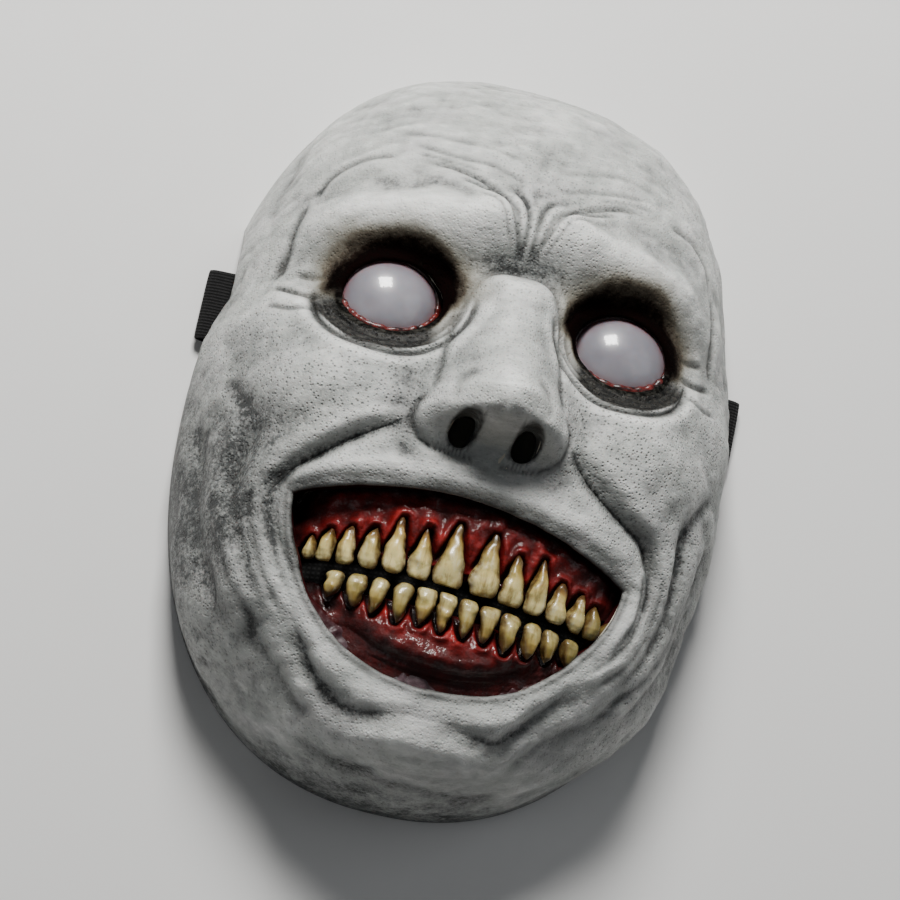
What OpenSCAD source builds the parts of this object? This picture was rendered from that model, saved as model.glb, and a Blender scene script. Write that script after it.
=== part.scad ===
// Costume face mask: a latex face shell that lies on its rim, face up, with domed eyes,
// two gum plates set with single teeth, and an elastic head strap on two press studs.
// X runs to the wearer's left, Y to the crown, Z out of the face. The rim plane is Z = 0.

/* [Shell] */
// Half of the shell's width at its widest line
half_width = 94; // [92:1:96]
// Length from the widest line to the crown
crown_length = 138; // [135:1:141]
// Length from the widest line to the chin
chin_length = 122; // [120:1:124]
// Height of the face over the rim plane, without the nose
face_height = 85; // [84:1:86]
// Thickness of the latex
skin = 3; // [2.6:0.1:3.4]

/* [Eyes] */
// Distance of each eye's centre from the middle of the face
eye_x = 39.5; // [39:0.5:40]
// Height of the eyes over the widest line
eye_up = 35; // [34:0.5:36]
// Outer radius of an eye dome
dome_r = 22; // [21.5:0.5:22.5]
// Wall of an eye dome
dome_wall = 1.5; // [1.2:0.1:2]

/* [Mouth] */
// Half of the mouth opening's width
mouth_half = 58; // [56:1:59]
// Rise of the upper lip's middle over the mouth corners
lip_rise = 11; // [9:1:12]
// Drop of the lower lip's middle under the mouth corners
lip_drop = 52; // [50:1:54]

/* [Strap] */
// Width of the elastic band
band_w = 25; // [22:1:26]
// Thickness of the elastic band
band_t = 1.3; // [1.1:0.1:1.4]
// Radius of the press stud's post
stud_r = 2.5; // [2:0.25:3]

/* [Hidden] */
$fn = 48;
mid_y = (chin_length - crown_length) / 2; // the widest line
eye_y = mid_y + eye_up;
mouth_y = mid_y - 38.5;   // height of the mouth corners
crown_power = 2.5;        // squareness of the rim over the widest line
chin_power = 2.24;        // squareness of the rim under it
rings = 34;               // rings from the middle of the face to the rim
spokes = 72;              // points around a ring
crowding = 1.25;          // how much closer the rings are near the middle
dir_lift = 100;           // how strongly relief near the middle rises straight up
gap = 0.2;                // clearance between pieces that only lie beside each other

dome_z = 51;              // height of an eye dome's centre
lid = 2.4;                // thickness of the lids that hold the dome
flange_z = 53;            // underside of the dome's flange
flange_t = 1.5;
flange_r = 24;
nostril_x = 10.5;
nostril_y = mid_y - 9;
nostril_r = 4.6;

arch_up_z = 79;           // front of the upper gum at the middle
arch_low_z = 78;          // front of the lower gum at the middle
arch_up_bend = 0.0055;    // how fast each gum falls back with the square of x
arch_low_bend = 0.0065;
smile_bend = -0.0006;     // how fast the bite line rises with the square of x
gum_back = 8.3;           // depth of the gum plates behind their fronts
bite_y = mid_y - 57.5;    // the line between the upper and lower teeth
bite_gap = 1;             // from that line to each row
grin_turn = -3;           // the whole mouth sits a little crooked
lips_shift = -1.5;        // how far the mouth opening lies off the middle
teeth_shift = 2.5;        // and the teeth with their gums

strap_y = mid_y + 36;
stud_z = 24;
block_x = 77.5;           // flat inner face of the anchor block
stud_disc_t = 1;
band_x = block_x - stud_disc_t - 0.15 - band_t / 2; // middle of the band where it stands upright
band_z = 1.3 + band_t / 2; // middle of the band where it lies flat
bulge_x = 96;             // middle of the band at its bulge past the rim
arch_r = 34;              // radius of the notch in the rim where the band comes out
arch_z = -14;
tail_gap = 0.15;
tail_ends = [-62, 40];
slider_w = 16;
slider_rail = 2.7;
slider_top = 2 * band_t + 2.8;

SIDES = ["left", "right"];
UPPER = 7;                // upper teeth on each side
LOWER = 6;                // lower teeth on each side
// For each tooth from the middle outward: distance from the middle, width, length, root share
UPPER_TEETH = [[6, 11, 21, 0.6], [15.4, 8.8, 16.8, 0.55], [24, 8.6, 18.6, 0.52], [31.7, 7.6, 13.6, 0.48],
               [38.8, 7, 12.8, 0.42], [45.1, 6.2, 11, 0.4], [50, 4.2, 8, 0.4]];
LOWER_TEETH = [[3.5, 6.8, 12.8, 0.45], [10.7, 7.2, 12.2, 0.45], [18.2, 7.2, 13.2, 0.48], [25.5, 7, 12, 0.45],
               [32.6, 6.8, 10.8, 0.42], [39.7, 6.6, 9.2, 0.38]];

function upper_name(side, k) = str("upper_tooth_", side, "_", k);
function lower_name(side, k) = str("lower_tooth_", side, "_", k);

// ---------- the face as a surface ----------

function smooth(v) = let (c = min(1, max(0, v))) c * c * (3 - 2 * c);

// Distance from the widest line's middle to the rim, in direction a
function rim_radius(a) =
    let (n = sin(a) >= 0 ? crown_power : chin_power, b = sin(a) >= 0 ? crown_length : chin_length)
    1 / pow(pow(abs(cos(a)) / half_width, n) + pow(abs(sin(a)) / b, n), 1 / n);

// A smooth blank: [point, height share] in direction a, with t from 0 at the middle to 1 at the rim
function blank(a, t) =
    let (down = max(0, -sin(a)),
         fullness = 2.3 + 1.5 * down * down,
         r = rim_radius(a) * pow(sin(90 * t), 2 / fullness),
         h = t < 1 ? pow(cos(90 * t), 2 / 2.2) : 0)
    [[r * cos(a), mid_y + r * sin(a), face_height * h], h];

// One rounded bump: b = [x, y, length, width, angle, height]
function bump(x, y, b) =
    let (dx = x - b[0], dy = y - b[1],
         u = (dx * cos(b[4]) + dy * sin(b[4])) / b[2],
         v = (dy * cos(b[4]) - dx * sin(b[4])) / b[3])
    b[5] * exp(-(u * u + v * v) / 2);

// Bumps and hollows that lie on both sides of the face
PAIRED = [
    [37, eye_y + 26, 21, 7, -6, 8.5],   // brow ridges
    [14, eye_y + 28, 6, 7.5, 30, 6],    // inner ends of the brows
    [41, eye_y, 19, 14, -4, -13],       // eye sockets
    [53, mid_y + 4, 17, 13, -30, 9.5],  // raised cheeks
    [70, mid_y + 24, 14, 8, -20, 4],    // cheekbones
    [80, eye_y + 28, 12, 20, 0, -4],    // temples
    [17, mid_y - 4, 5.5, 6.5, 0, 8],    // nostril wings
    [74, mid_y - 74, 14, 16, 0, 4]];    // corners of the jaw
SINGLE = [
    [0, mid_y + 1, 8, 7.5, 0, 5],       // ball of the nose
    [0, mid_y - 103, 19, 8, 0, 8],      // chin
    [0, mid_y - 23, 20, 7, 0, 3],       // upper lip
    [0, eye_y + 20, 12, 4, 0, -3],      // crease at the nose's root
    [0, eye_y + 46, 40, 14, 0, 2]];     // forehead

// The nose's ridge, which grows from between the eyes to the tip and then ends
function nose(x, y) =
    let (top = eye_y + 15,
         along = min(1, max(0, (top - y) / (top - mid_y - 3))),
         ridge = 6 + 20 * pow(along, 1.3),
         start = smooth((top + 3 - y) / 9),
         end = smooth((y - mid_y + 14) / 12),
         half = 13 + 3 * along)
    ridge * start * end * exp(-pow(abs(x) / half, 2.4));

// The smile fold, from the nostril wing round the mouth corner to the chin
FOLD = [[24, mid_y - 4], [42, mid_y - 15], [60, mid_y - 27], [68, mid_y - 44], [66, mid_y - 66], [53, mid_y - 90]];
function to_segment(p, a, b) =
    let (d = b - a, k = min(1, max(0, (p - a) * d / (d * d)))) norm(p - a - k * d);
function fold(x, y) =
    let (d = min([for (i = [0:len(FOLD) - 2]) to_segment([abs(x), y], FOLD[i], FOLD[i + 1])]))
    -4.5 * exp(-d * d / 32);

function sum(v, i = 0) = i < len(v) ? v[i] + sum(v, i + 1) : 0;
function relief(x, y) =
    sum([for (b = PAIRED) bump(x, y, b) + bump(-x, y, b)]) + sum([for (b = SINGLE) bump(x, y, b)])
    + nose(x, y) + fold(x, y);

// A point of the face, depth under its outer surface
function face_point(a, t, depth) =
    let (b = blank(a, t), p = b[0], h = b[1],
         d = [p.x, p.y - mid_y, p.z + dir_lift * h],
         fade = smooth(h / 0.3))
    p + (relief(p.x, p.y) * fade - depth) * d / norm(d);

function ring_points(depth) =
    [for (i = [1:rings]) for (j = [0:spokes - 1])
        face_point(360 * j / spokes, pow(i / rings, crowding), depth)];

// Triangles of a surface whose middle is point 0 of the list and whose rings follow it
function cap_faces(first, outward) =
    let (next = function(j) (j + 1) % spokes, at = function(i, j) first + 1 + i * spokes + j)
    [for (j = [0:spokes - 1]) outward ? [first, at(0, next(j)), at(0, j)] : [first, at(0, j), at(0, next(j))],
     for (i = [0:rings - 2]) for (j = [0:spokes - 1]) for (half = [0, 1])
        let (q = half == 0 ? [at(i, j), at(i, next(j)), at(i + 1, j)]
                           : [at(i, next(j)), at(i + 1, next(j)), at(i + 1, j)])
        outward ? q : [q[2], q[1], q[0]]];

// The shell between two depths under the face
module shell(outer, inner) {
    n = 1 + rings * spokes;
    rim = 1 + (rings - 1) * spokes;
    polyhedron(
        concat([face_point(90, 0, outer)], ring_points(outer), [face_point(90, 0, inner)], ring_points(inner)),
        concat(cap_faces(0, true), cap_faces(n, false),
               [for (j = [0:spokes - 1]) let (k = (j + 1) % spokes)
                    [rim + j, rim + k, n + rim + k, n + rim + j]]));
}

// Everything under the face at a depth, down to the rim plane
module under_face(depth) {
    rim = 1 + (rings - 1) * spokes;
    polyhedron(
        concat([face_point(90, 0, depth)], ring_points(depth)),
        concat(cap_faces(0, true), [[for (j = [0:spokes - 1]) rim + j]]));
}

// A pad of the space between two depths, over a window of directions and rings
module face_patch(a0, a1, t0, t1, outer, inner, across = 12, along = 8) {
    row = along + 1;
    n = (across + 1) * row;
    points = [for (depth = [outer, inner]) for (i = [0:across]) for (j = [0:along])
        face_point(a0 + (a1 - a0) * i / across, t0 + (t1 - t0) * j / along, depth)];
    at = function(i, j) i * row + j;
    polyhedron(points, concat(
        [for (i = [0:across - 1]) for (j = [0:along - 1]) [at(i, j), at(i + 1, j), at(i + 1, j + 1)]],
        [for (i = [0:across - 1]) for (j = [0:along - 1]) [at(i, j), at(i + 1, j + 1), at(i, j + 1)]],
        [for (i = [0:across - 1]) for (j = [0:along - 1]) [n + at(i, j), n + at(i + 1, j + 1), n + at(i + 1, j)]],
        [for (i = [0:across - 1]) for (j = [0:along - 1]) [n + at(i, j), n + at(i, j + 1), n + at(i + 1, j + 1)]],
        [for (i = [0:across - 1]) [at(i, 0), n + at(i, 0), n + at(i + 1, 0), at(i + 1, 0)]],
        [for (i = [0:across - 1]) [at(i, along), at(i + 1, along), n + at(i + 1, along), n + at(i, along)]],
        [for (j = [0:along - 1]) [at(0, j), at(0, j + 1), n + at(0, j + 1), n + at(0, j)]],
        [for (j = [0:along - 1]) [at(across, j), n + at(across, j), n + at(across, j + 1), at(across, j + 1)]]));
}

// ---------- helpers ----------

module on_side(side) {
    if (side == "left") children();
    else mirror([1, 0, 0]) children();
}

// Moves the mouth's pieces off the middle, and turns them about the middle of the bite line
module crooked(shift = teeth_shift) {
    translate([shift, bite_y, 0]) rotate([0, 0, grin_turn]) translate([0, -bite_y, 0]) children();
}

// A cylinder along X from x0 to x1
module bar_x(x0, x1, r) {
    translate([x0, 0, 0]) rotate([0, 90, 0]) cylinder(r = r, h = x1 - x0);
}

// A solid lofted through closed rings of points, all with the same count
module loft(sections) {
    m = len(sections[0]);
    last = len(sections) - 1;
    polyhedron([for (s = sections) each s], concat(
        [[for (j = [0:m - 1]) j]],
        [for (i = [0:last - 1]) for (j = [0:m - 1]) let (k = (j + 1) % m)
            for (q = [[i * m + j, (i + 1) * m + j, (i + 1) * m + k], [i * m + j, (i + 1) * m + k, i * m + k]]) q],
        [[for (j = [m - 1:-1:0]) last * m + j]]));
}

// ---------- skin ----------

module mouth_outline() {
    steps = 40;
    curve = function(u, height, p, q) height * pow(max(0, 1 - pow(abs(u), p)), q);
    upper = [for (i = [0:steps]) let (u = cos(180 * i / steps)) [u * mouth_half, curve(u, lip_rise, 2, 0.85)]];
    lower = [for (i = [1:steps - 1]) let (u = -cos(180 * i / steps)) [u * mouth_half, -curve(u, lip_drop, 2.2, 0.6)]];
    polygon(concat(upper, lower));
}

module eye_outline() {
    steps = 36;
    polygon([for (i = [0:steps - 1]) let (a = 360 * i / steps)
        [17.2 * cos(a), (sin(a) > 0 ? 14.2 : 12.3) * sin(a)]]);
}

// The lids: a thick skin over the dome, down to its flange
module lids(r, wall) {
    difference() {
        translate([0, 0, dome_z]) sphere(r = r + wall);
        translate([0, 0, flange_z + flange_t + gap - 50]) cube(100, center = true);
    }
}

module face_skin() {
    color([0.84, 0.84, 0.81])
    difference() {
        union() {
            shell(0, skin);
            for (s = SIDES) on_side(s) translate([eye_x, eye_y, 0]) lids(dome_r + gap, lid);
        }
        crooked(lips_shift) translate([0, mouth_y, 45]) linear_extrude(90) mouth_outline();
        for (s = SIDES) on_side(s) {
            translate([eye_x, eye_y, 60]) rotate([0, 0, -5]) linear_extrude(50) eye_outline();
            translate([eye_x, eye_y, dome_z]) sphere(r = dome_r + gap);
            translate([nostril_x, nostril_y, 60]) cylinder(r = nostril_r, h = 70);
            translate([0, strap_y, arch_z]) bar_x(65, 110, arch_r);
        }
    }
}

// ---------- eyes ----------

module eye_dome(side) {
    color([0.75, 0.75, 0.78])
    on_side(side) translate([eye_x, eye_y, 0]) {
        difference() {
            translate([0, 0, dome_z]) sphere(r = dome_r);
            translate([0, 0, dome_z]) sphere(r = dome_r - dome_wall);
            translate([0, 0, flange_z - 50]) cube(100, center = true);
        }
        translate([0, 0, flange_z]) difference() {
            cylinder(r = flange_r, h = flange_t);
            translate([0, 0, -1]) cylinder(r = dome_r - dome_wall / 2, h = flange_t + 2);
        }
    }
}

module eye_retainer(side) {
    color([0.1, 0.1, 0.1])
    on_side(side) translate([eye_x, eye_y, flange_z - 2]) difference() {
        cylinder(r = flange_r, h = 2);
        translate([0, 0, -1]) cylinder(r = dome_r - 4, h = 4);
    }
}

// ---------- mouth ----------

function gum_end(x, half) = pow(max(0, 1 - pow(abs(x) / half, 6)), 0.5);

// A gum plate: profile gives [height, depth] pairs around a section at the middle
module gum_plate(profile, front, bend, half, middle_y) {
    steps = 28;
    loft([for (i = [0:steps])
        let (x = half * 0.995 * sin(-90 + 180 * i / steps), k = max(0.15, gum_end(x, half)))
        [for (p = profile)
            [x, middle_y + (p[0] - middle_y) * k + smile_bend * x * x,
             front - bend * x * x - gum_back + (p[1] + gum_back) * k]]]);
}

module upper_gum() {
    y = mid_y - 20;
    color([0.45, 0.04, 0.05])
    intersection() {
        crooked() gum_plate([[y, -gum_back], [y - 1, -2.5], [y - 5, -0.3], [y - 14, 0.4], [y - 21, -0.6],
                             [y - 26, -2.4], [y - 30, -4.6], [y - 31.5, -gum_back]],
                            arch_up_z, arch_up_bend, 58, bite_y);
        under_face(skin + gap);
    }
}

module lower_gum() {
    y = mid_y - 93;
    color([0.4, 0.03, 0.04])
    intersection() {
        crooked() gum_plate([[y + 30, -gum_back], [y + 28.5, -4.8], [y + 25, -3], [y + 20, -1], [y + 13, 0],
                             [y + 6, -0.8], [y + 1, -4], [y, -gum_back]],
                            arch_low_z, arch_low_bend, 52, bite_y);
        under_face(skin + gap);
    }
}

module mouth_backing() {
    steps = 24;
    half = 60;
    wall = 1.2;
    color([0.03, 0.03, 0.03])
    intersection() {
        crooked() loft([for (i = [0:steps])
            let (x = half * sin(-90 + 180 * i / steps),
                 z = min(arch_up_z - arch_up_bend * x * x, arch_low_z - arch_low_bend * x * x) - gum_back - gap,
                 drop = 8 + 30 * pow(max(0, 1 - pow(x / half, 2)), 0.6))
            [[x, mid_y - 20, z - wall], [x, mid_y - 20, z], [x, bite_y - drop, z], [x, bite_y - drop, z - wall]]]);
        under_face(skin + gap);
    }
}

// A tooth along Y: its biting edge at 0 and its root's tip at length
module tooth(width, length, root) {
    sides = 12;
    levels = [[0.01, 0.62, 0.35], [0.05, 0.84, 0.62], [0.16, 0.97, 0.85], [0.3, 1, 1], [1 - root, 0.9, 0.98],
              [1 - root * 0.55, 0.62, 0.8], [1 - root * 0.22, 0.34, 0.55], [0.985, 0.14, 0.3]];
    loft([for (v = levels)
        [for (j = [0:sides - 1]) let (a = 360 * j / sides)
            [width / 2 * v[1] * cos(a), length * v[0], 3.2 * v[2] * sin(a)]]]);
}

// Places a tooth on its arch, turned square to it
module on_arch(x, front, bend, y) {
    translate([x, y + smile_bend * x * x, front - bend * x * x - 0.6])
        rotate([0, atan(2 * bend * x), 0]) children();
}

module placed_upper_tooth(side, k) {
    t = UPPER_TEETH[k - 1];
    crooked() on_side(side) on_arch(t[0], arch_up_z, arch_up_bend, bite_y + bite_gap)
        tooth(t[1] * 0.94, t[2], t[3]);
}

// The last upper tooth reaches in behind the cheek, where its corner is trimmed to lie under the skin
module upper_tooth(side, k) {
    color([0.83, 0.76, 0.52])
    if (k == len(UPPER_TEETH))
        intersection() {
            placed_upper_tooth(side, k);
            under_face(skin + 2 * gap);
        }
    else
        placed_upper_tooth(side, k);
}

module lower_tooth(side, k) {
    t = LOWER_TEETH[k - 1];
    color([0.75, 0.67, 0.43])
    crooked() on_side(side) on_arch(t[0], arch_low_z, arch_low_bend, bite_y - bite_gap) mirror([0, 1, 0])
        tooth(t[1] * 0.94, t[2], t[3]);
}

// ---------- strap anchors ----------

// Moulded block that fills the curved wall out to a flat face for the stud
module anchor_block(side) {
    turn = atan2(strap_y - mid_y, 84);
    color([0.7, 0.7, 0.68])
    on_side(side) difference() {
        face_patch(turn - 7, turn + 7, 0.77, 0.87, skin + gap, skin + 16, 8, 6);
        translate([block_x - 50, strap_y, stud_z]) cube(100, center = true);
    }
}

module snap_stud(side) {
    color([0.62, 0.5, 0.28])
    on_side(side) translate([0, strap_y, stud_z]) {
        bar_x(block_x - stud_disc_t, block_x, 6);
        bar_x(block_x - stud_disc_t - band_t - 1.9, block_x - stud_disc_t, stud_r);
    }
}

// The cap that is crimped into the band and presses over the stud
module snap_cap(side) {
    inner = band_x - band_t / 2 - 0.1;
    color([0.1, 0.1, 0.1])
    on_side(side) translate([0, strap_y, stud_z]) difference() {
        bar_x(inner - 2.6, inner, 6.2);
        bar_x(inner - 1.9, inner + 1, stud_r + 0.06);
    }
}

// ---------- strap ----------

// Middle line of the band's left half, from the stud to the flat run
BAND = [[band_x, stud_z], [band_x, 12], [band_x + 0.7, 10.2], [band_x + 2.7, 8.6], [band_x + 7, 7.6],
        [band_x + 13, 6.9], [bulge_x - 1.2, 6.1], [bulge_x - 0.2, 5], [bulge_x, 3.9], [bulge_x - 0.6, 2.8],
        [bulge_x - 2, 2.15], [bulge_x - 5, band_z]];

// A line's points moved sideways by d
function beside(line, d) =
    [for (i = [0:len(line) - 1])
        let (a = line[max(0, i - 1)], b = line[min(len(line) - 1, i + 1)], u = (b - a) / norm(b - a))
        line[i] + d * [u.y, -u.x]];

module elastic_strap() {
    half = concat(BAND, [[0, band_z]]);
    line = concat(half, [for (i = [len(half) - 2:-1:0]) [-half[i].x, half[i].y]]);
    outline = concat(beside(line, band_t / 2),
                     let (other = beside(line, -band_t / 2)) [for (i = [len(other) - 1:-1:0]) other[i]]);
    color([0.05, 0.05, 0.05])
    difference() {
        union() {
            translate([0, strap_y + band_w / 2, 0]) rotate([90, 0, 0]) linear_extrude(band_w) polygon(outline);
            for (s = SIDES) on_side(s)
                translate([0, strap_y, stud_z]) bar_x(band_x - band_t / 2, band_x + band_t / 2, band_w / 2);
        }
        for (s = SIDES) on_side(s) translate([0, strap_y, stud_z]) bar_x(band_x - 2, band_x + 2, stud_r + 0.06);
    }
}

// The doubled-back end of the band, which lies on the flat run
module strap_tail() {
    color([0.06, 0.06, 0.06])
    translate([tail_ends[0], strap_y - band_w / 2, band_z + band_t / 2 + tail_gap])
        cube([tail_ends[1] - tail_ends[0], band_w, band_t]);
}

// Three-bar slider: two bars under the band, one over it
module strap_slider() {
    inside = band_w / 2 + 0.3;
    bar = 3;
    color([0.08, 0.08, 0.08])
    translate([0, strap_y, 0]) {
        for (v = [-1, 1]) {
            translate([-slider_w / 2, v > 0 ? inside : -inside - slider_rail, 0])
                cube([slider_w, slider_rail, slider_top + 1]);
            translate([v * (slider_w - bar) / 2 - bar / 2, -inside - 0.5, 0]) cube([bar, 2 * inside + 1, 1.1]);
        }
        translate([-bar / 2, -inside - 0.5, slider_top - 0.2]) cube([bar, 2 * inside + 1, 1.2]);
    }
}

// ---------- what is drawn ----------

face_skin();
upper_gum();
lower_gum();
mouth_backing();
elastic_strap();
strap_tail();
strap_slider();
for (s = SIDES) {
    eye_dome(s);
    eye_retainer(s);
    anchor_block(s);
    snap_stud(s);
    snap_cap(s);
    for (k = [1:UPPER]) upper_tooth(s, k);
    for (k = [1:LOWER]) lower_tooth(s, k);
}
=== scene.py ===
# A latex ghoul mask lying on its rim, face up. Lengths are in millimetres until a mesh is made.
from math import atan, cos, pi, radians, sin, sqrt
import bpy
import numpy as np
from mathutils import Matrix, Vector
from mathutils.kdtree import KDTree


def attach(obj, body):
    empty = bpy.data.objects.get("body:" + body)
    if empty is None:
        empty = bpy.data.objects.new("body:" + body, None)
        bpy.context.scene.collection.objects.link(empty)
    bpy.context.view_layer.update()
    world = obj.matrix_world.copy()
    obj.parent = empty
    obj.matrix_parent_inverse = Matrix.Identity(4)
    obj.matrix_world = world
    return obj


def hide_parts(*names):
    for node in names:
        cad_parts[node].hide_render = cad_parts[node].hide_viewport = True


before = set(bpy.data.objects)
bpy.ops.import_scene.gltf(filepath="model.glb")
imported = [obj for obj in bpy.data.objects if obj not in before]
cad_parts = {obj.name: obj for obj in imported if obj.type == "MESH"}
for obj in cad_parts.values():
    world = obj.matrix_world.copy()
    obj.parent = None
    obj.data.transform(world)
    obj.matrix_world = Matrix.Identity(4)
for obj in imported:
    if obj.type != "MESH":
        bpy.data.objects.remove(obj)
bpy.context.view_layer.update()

MM = 0.001
HALF_WIDTH, CROWN, CHIN, HEIGHT = 94.0, 138.0, 122.0, 85.0
MID = (CHIN - CROWN) / 2            # height of the widest line
SKIN = 3.0                          # thickness of the latex
# From here on, y is counted from the widest line, except in STRAP_Y
EYE = (39.5, 35.0)
DOME_R, DOME_Z = 22.0, 51.0
LID_R, LID_BLEND = 24.4, 1.6        # ball of the lids, and how softly it joins the face
EYE_TURN = radians(5)
EYE_WIDE, EYE_OVER, EYE_UNDER = 17.2, 14.2, 12.3    # the eye opening: half width, and reach up and down
MOUTH_HALF, MOUTH_Y, LIP_RISE, LIP_DROP = 58.0, -38.5, 11.0, 52.0
NOSTRIL = (10.5, -9.0, 4.4)
BITE, BITE_GAP = -57.5, 1.0         # the bite line, and from it to each row of teeth
GRIN_TURN = radians(-3)             # the mouth sits a little crooked
LIPS_SHIFT, TEETH_SHIFT = -1.5, 2.5     # how far the opening, and the teeth with the gums, lie off the middle
UPPER_ARCH = (79.0, 0.0055)         # front of each gum at the middle, and how fast it falls back
LOWER_ARCH = (78.0, 0.0065)
SMILE = -0.0006                     # how fast the bite line falls away from the middle
TOOTH_STANDS = 0.3                  # how far a tooth's middle lies in front of the arch
GUM_BACK, GUM_TOP, GUM_BOTTOM = 8.3, -20, -93   # depth of the gums, and their far edges
STRAP_Y, STUD_Z = MID + 36, 24.0
BAND_X, BAND_Z, BAND_WIDE, BAND_THICK = 75.7, 1.95, 25.0, 1.3
NOTCH_R, NOTCH_Z = 34.0, -14.0      # the notch in the rim that lets the strap out


# ---------- small helpers ----------

def smooth(v):
    v = np.clip(v, 0, 1)
    return v * v * (3 - 2 * v)


def gauss(d, width):
    return np.exp(-(d / width) ** 2)


def unit(v):
    """Rows of v scaled to a length of 1."""
    return v / (np.linalg.norm(v, axis=1, keepdims=True) + 1e-12)


def spin(x, y, angle):
    """x and y turned counterclockwise by an angle."""
    c, s = cos(angle), sin(angle)
    return x * c - y * s, x * s + y * c


def around(count):
    """Angles spaced evenly round a circle."""
    return np.arange(count) * 2 * pi / count


def waves(points, size, seed, count=28):
    """Smooth noise of about -1 to 1, whose lumps are about size across."""
    rng = np.random.default_rng(seed)
    total = np.zeros(len(points))
    for _ in range(count):
        direction = rng.normal(size=3)
        direction *= 2 * pi / (size * rng.uniform(1.3, 2.6)) / np.linalg.norm(direction)
        total += np.sin(points @ direction + rng.uniform(0, 2 * pi))
    return total / sqrt(count)


def make_mesh(name, points, faces, material, shade=None):
    """An object from points in millimetres; shade maps attribute names to values per point."""
    mesh = bpy.data.meshes.new(name)
    mesh.from_pydata((np.asarray(points) * MM).tolist(), [], [list(f) for f in faces])
    mesh.shade_smooth()
    for key, values in (shade or {}).items():
        layer = mesh.attributes.new(key, "FLOAT", "POINT")
        layer.data.foreach_set("value", np.asarray(values, dtype=np.float32))
    mesh.materials.append(material)
    piece = bpy.data.objects.new(name, mesh)
    bpy.context.scene.collection.objects.link(piece)
    return piece


def grid_faces(rows, columns, closed=False):
    """Quads between rows of points; closed joins each row's end to its start."""
    faces = []
    for i in range(rows - 1):
        for j in range(columns if closed else columns - 1):
            k = (j + 1) % columns
            faces.append((i * columns + j, i * columns + k, (i + 1) * columns + k, (i + 1) * columns + j))
    return faces


# ---------- the face's surface ----------

# x, y, length, width, turn in degrees, height: on both sides of the face
PAIRED = [
    (37, 61, 21, 7, -6, 9), (14, 63, 6, 7.5, 30, 6), (41, 35, 19, 14, -4, -13), (40, 47, 17, 4.5, -5, -4),
    (53, 4, 17, 13, -30, 10), (70, 24, 14, 8, -20, 4), (80, 63, 12, 20, 0, -4),
    (17, -4, 5.5, 6.5, 0, 8), (74, -74, 14, 16, 0, 4)]
SINGLE = [
    (0, 2, 7.5, 7, 0, 6.5), (0, -103, 19, 8, 0, 8), (0, -23, 20, 7, 0, 3),
    (0, 55, 12, 4, 0, -3), (0, 81, 40, 14, 0, 2)]


def rim_radius(a):
    up = np.sin(a) >= 0
    n = np.where(up, 2.5, 2.24)
    length = np.where(up, CROWN, CHIN)
    return ((np.abs(np.cos(a)) / HALF_WIDTH) ** n + (np.abs(np.sin(a)) / length) ** n) ** (-1 / n)


def blank(disc):
    """The smooth blank under the face, and its height share, for points of the unit disc."""
    a = np.arctan2(disc[:, 1], disc[:, 0])
    t = np.clip(np.hypot(disc[:, 0], disc[:, 1]), 0, 1) ** 1.4
    down = np.maximum(0, -np.sin(a))
    r = rim_radius(a) * np.sin(pi / 2 * t) ** (2 / (2.3 + 1.5 * down * down))
    share = np.maximum(0, np.cos(pi / 2 * t)) ** (1 / 1.1)
    share[t > 1 - 1e-9] = 0
    return np.stack([r * np.cos(a), r * np.sin(a), HEIGHT * share], 1), share


def bump(x, y, row):
    cx, cy, length, width, turn, height = row
    u, v = spin(x - cx, y - cy, -radians(turn))
    return height * np.exp(-((u / length) ** 2 + (v / width) ** 2) / 2)


def nose(x, y):
    along = np.clip((50 - y) / 47, 0, 1)
    ridge = 6 + 20 * along ** 1.3
    half = 13.5 + 3.5 * along
    return ridge * smooth((53 - y) / 9) * smooth((y + 14) / 12) * np.exp(-np.abs(x / half) ** 2.2)


def smooth_line(points, steps=7):
    """Points along a smooth curve through the given ones."""
    p = np.asarray(points, float)
    p = np.vstack([2 * p[0] - p[1], p, 2 * p[-1] - p[-2]])
    out = []
    for i in range(1, len(p) - 2):
        for k in range(steps):
            t = k / steps
            out.append(0.5 * (2 * p[i] + (p[i + 1] - p[i - 1]) * t
                              + (2 * p[i - 1] - 5 * p[i] + 4 * p[i + 1] - p[i + 2]) * t * t
                              + (3 * p[i] - p[i - 1] - 3 * p[i + 1] + p[i + 2]) * t ** 3))
    out.append(p[-2])
    return np.array(out)


def from_line(line, x, y):
    """Signed distance from a line, positive on its left, and how far along it, from 0 to 1."""
    best = np.full(len(x), 1e9)
    side = np.zeros(len(x))
    along = np.zeros(len(x))
    total = len(line) - 1
    for i in range(total):
        a, e = line[i], line[i + 1] - line[i]
        size = e @ e
        k = np.clip(((x - a[0]) * e[0] + (y - a[1]) * e[1]) / size, 0, 1)
        dx, dy = x - a[0] - k * e[0], y - a[1] - k * e[1]
        d = dx * dx + dy * dy
        near = d < best
        best[near] = d[near]
        side[near] = np.sign(e[0] * dy - e[1] * dx)[near]
        along[near] = ((i + k) / total)[near]
    return np.sqrt(best) * np.where(side == 0, 1, side), along


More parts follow.
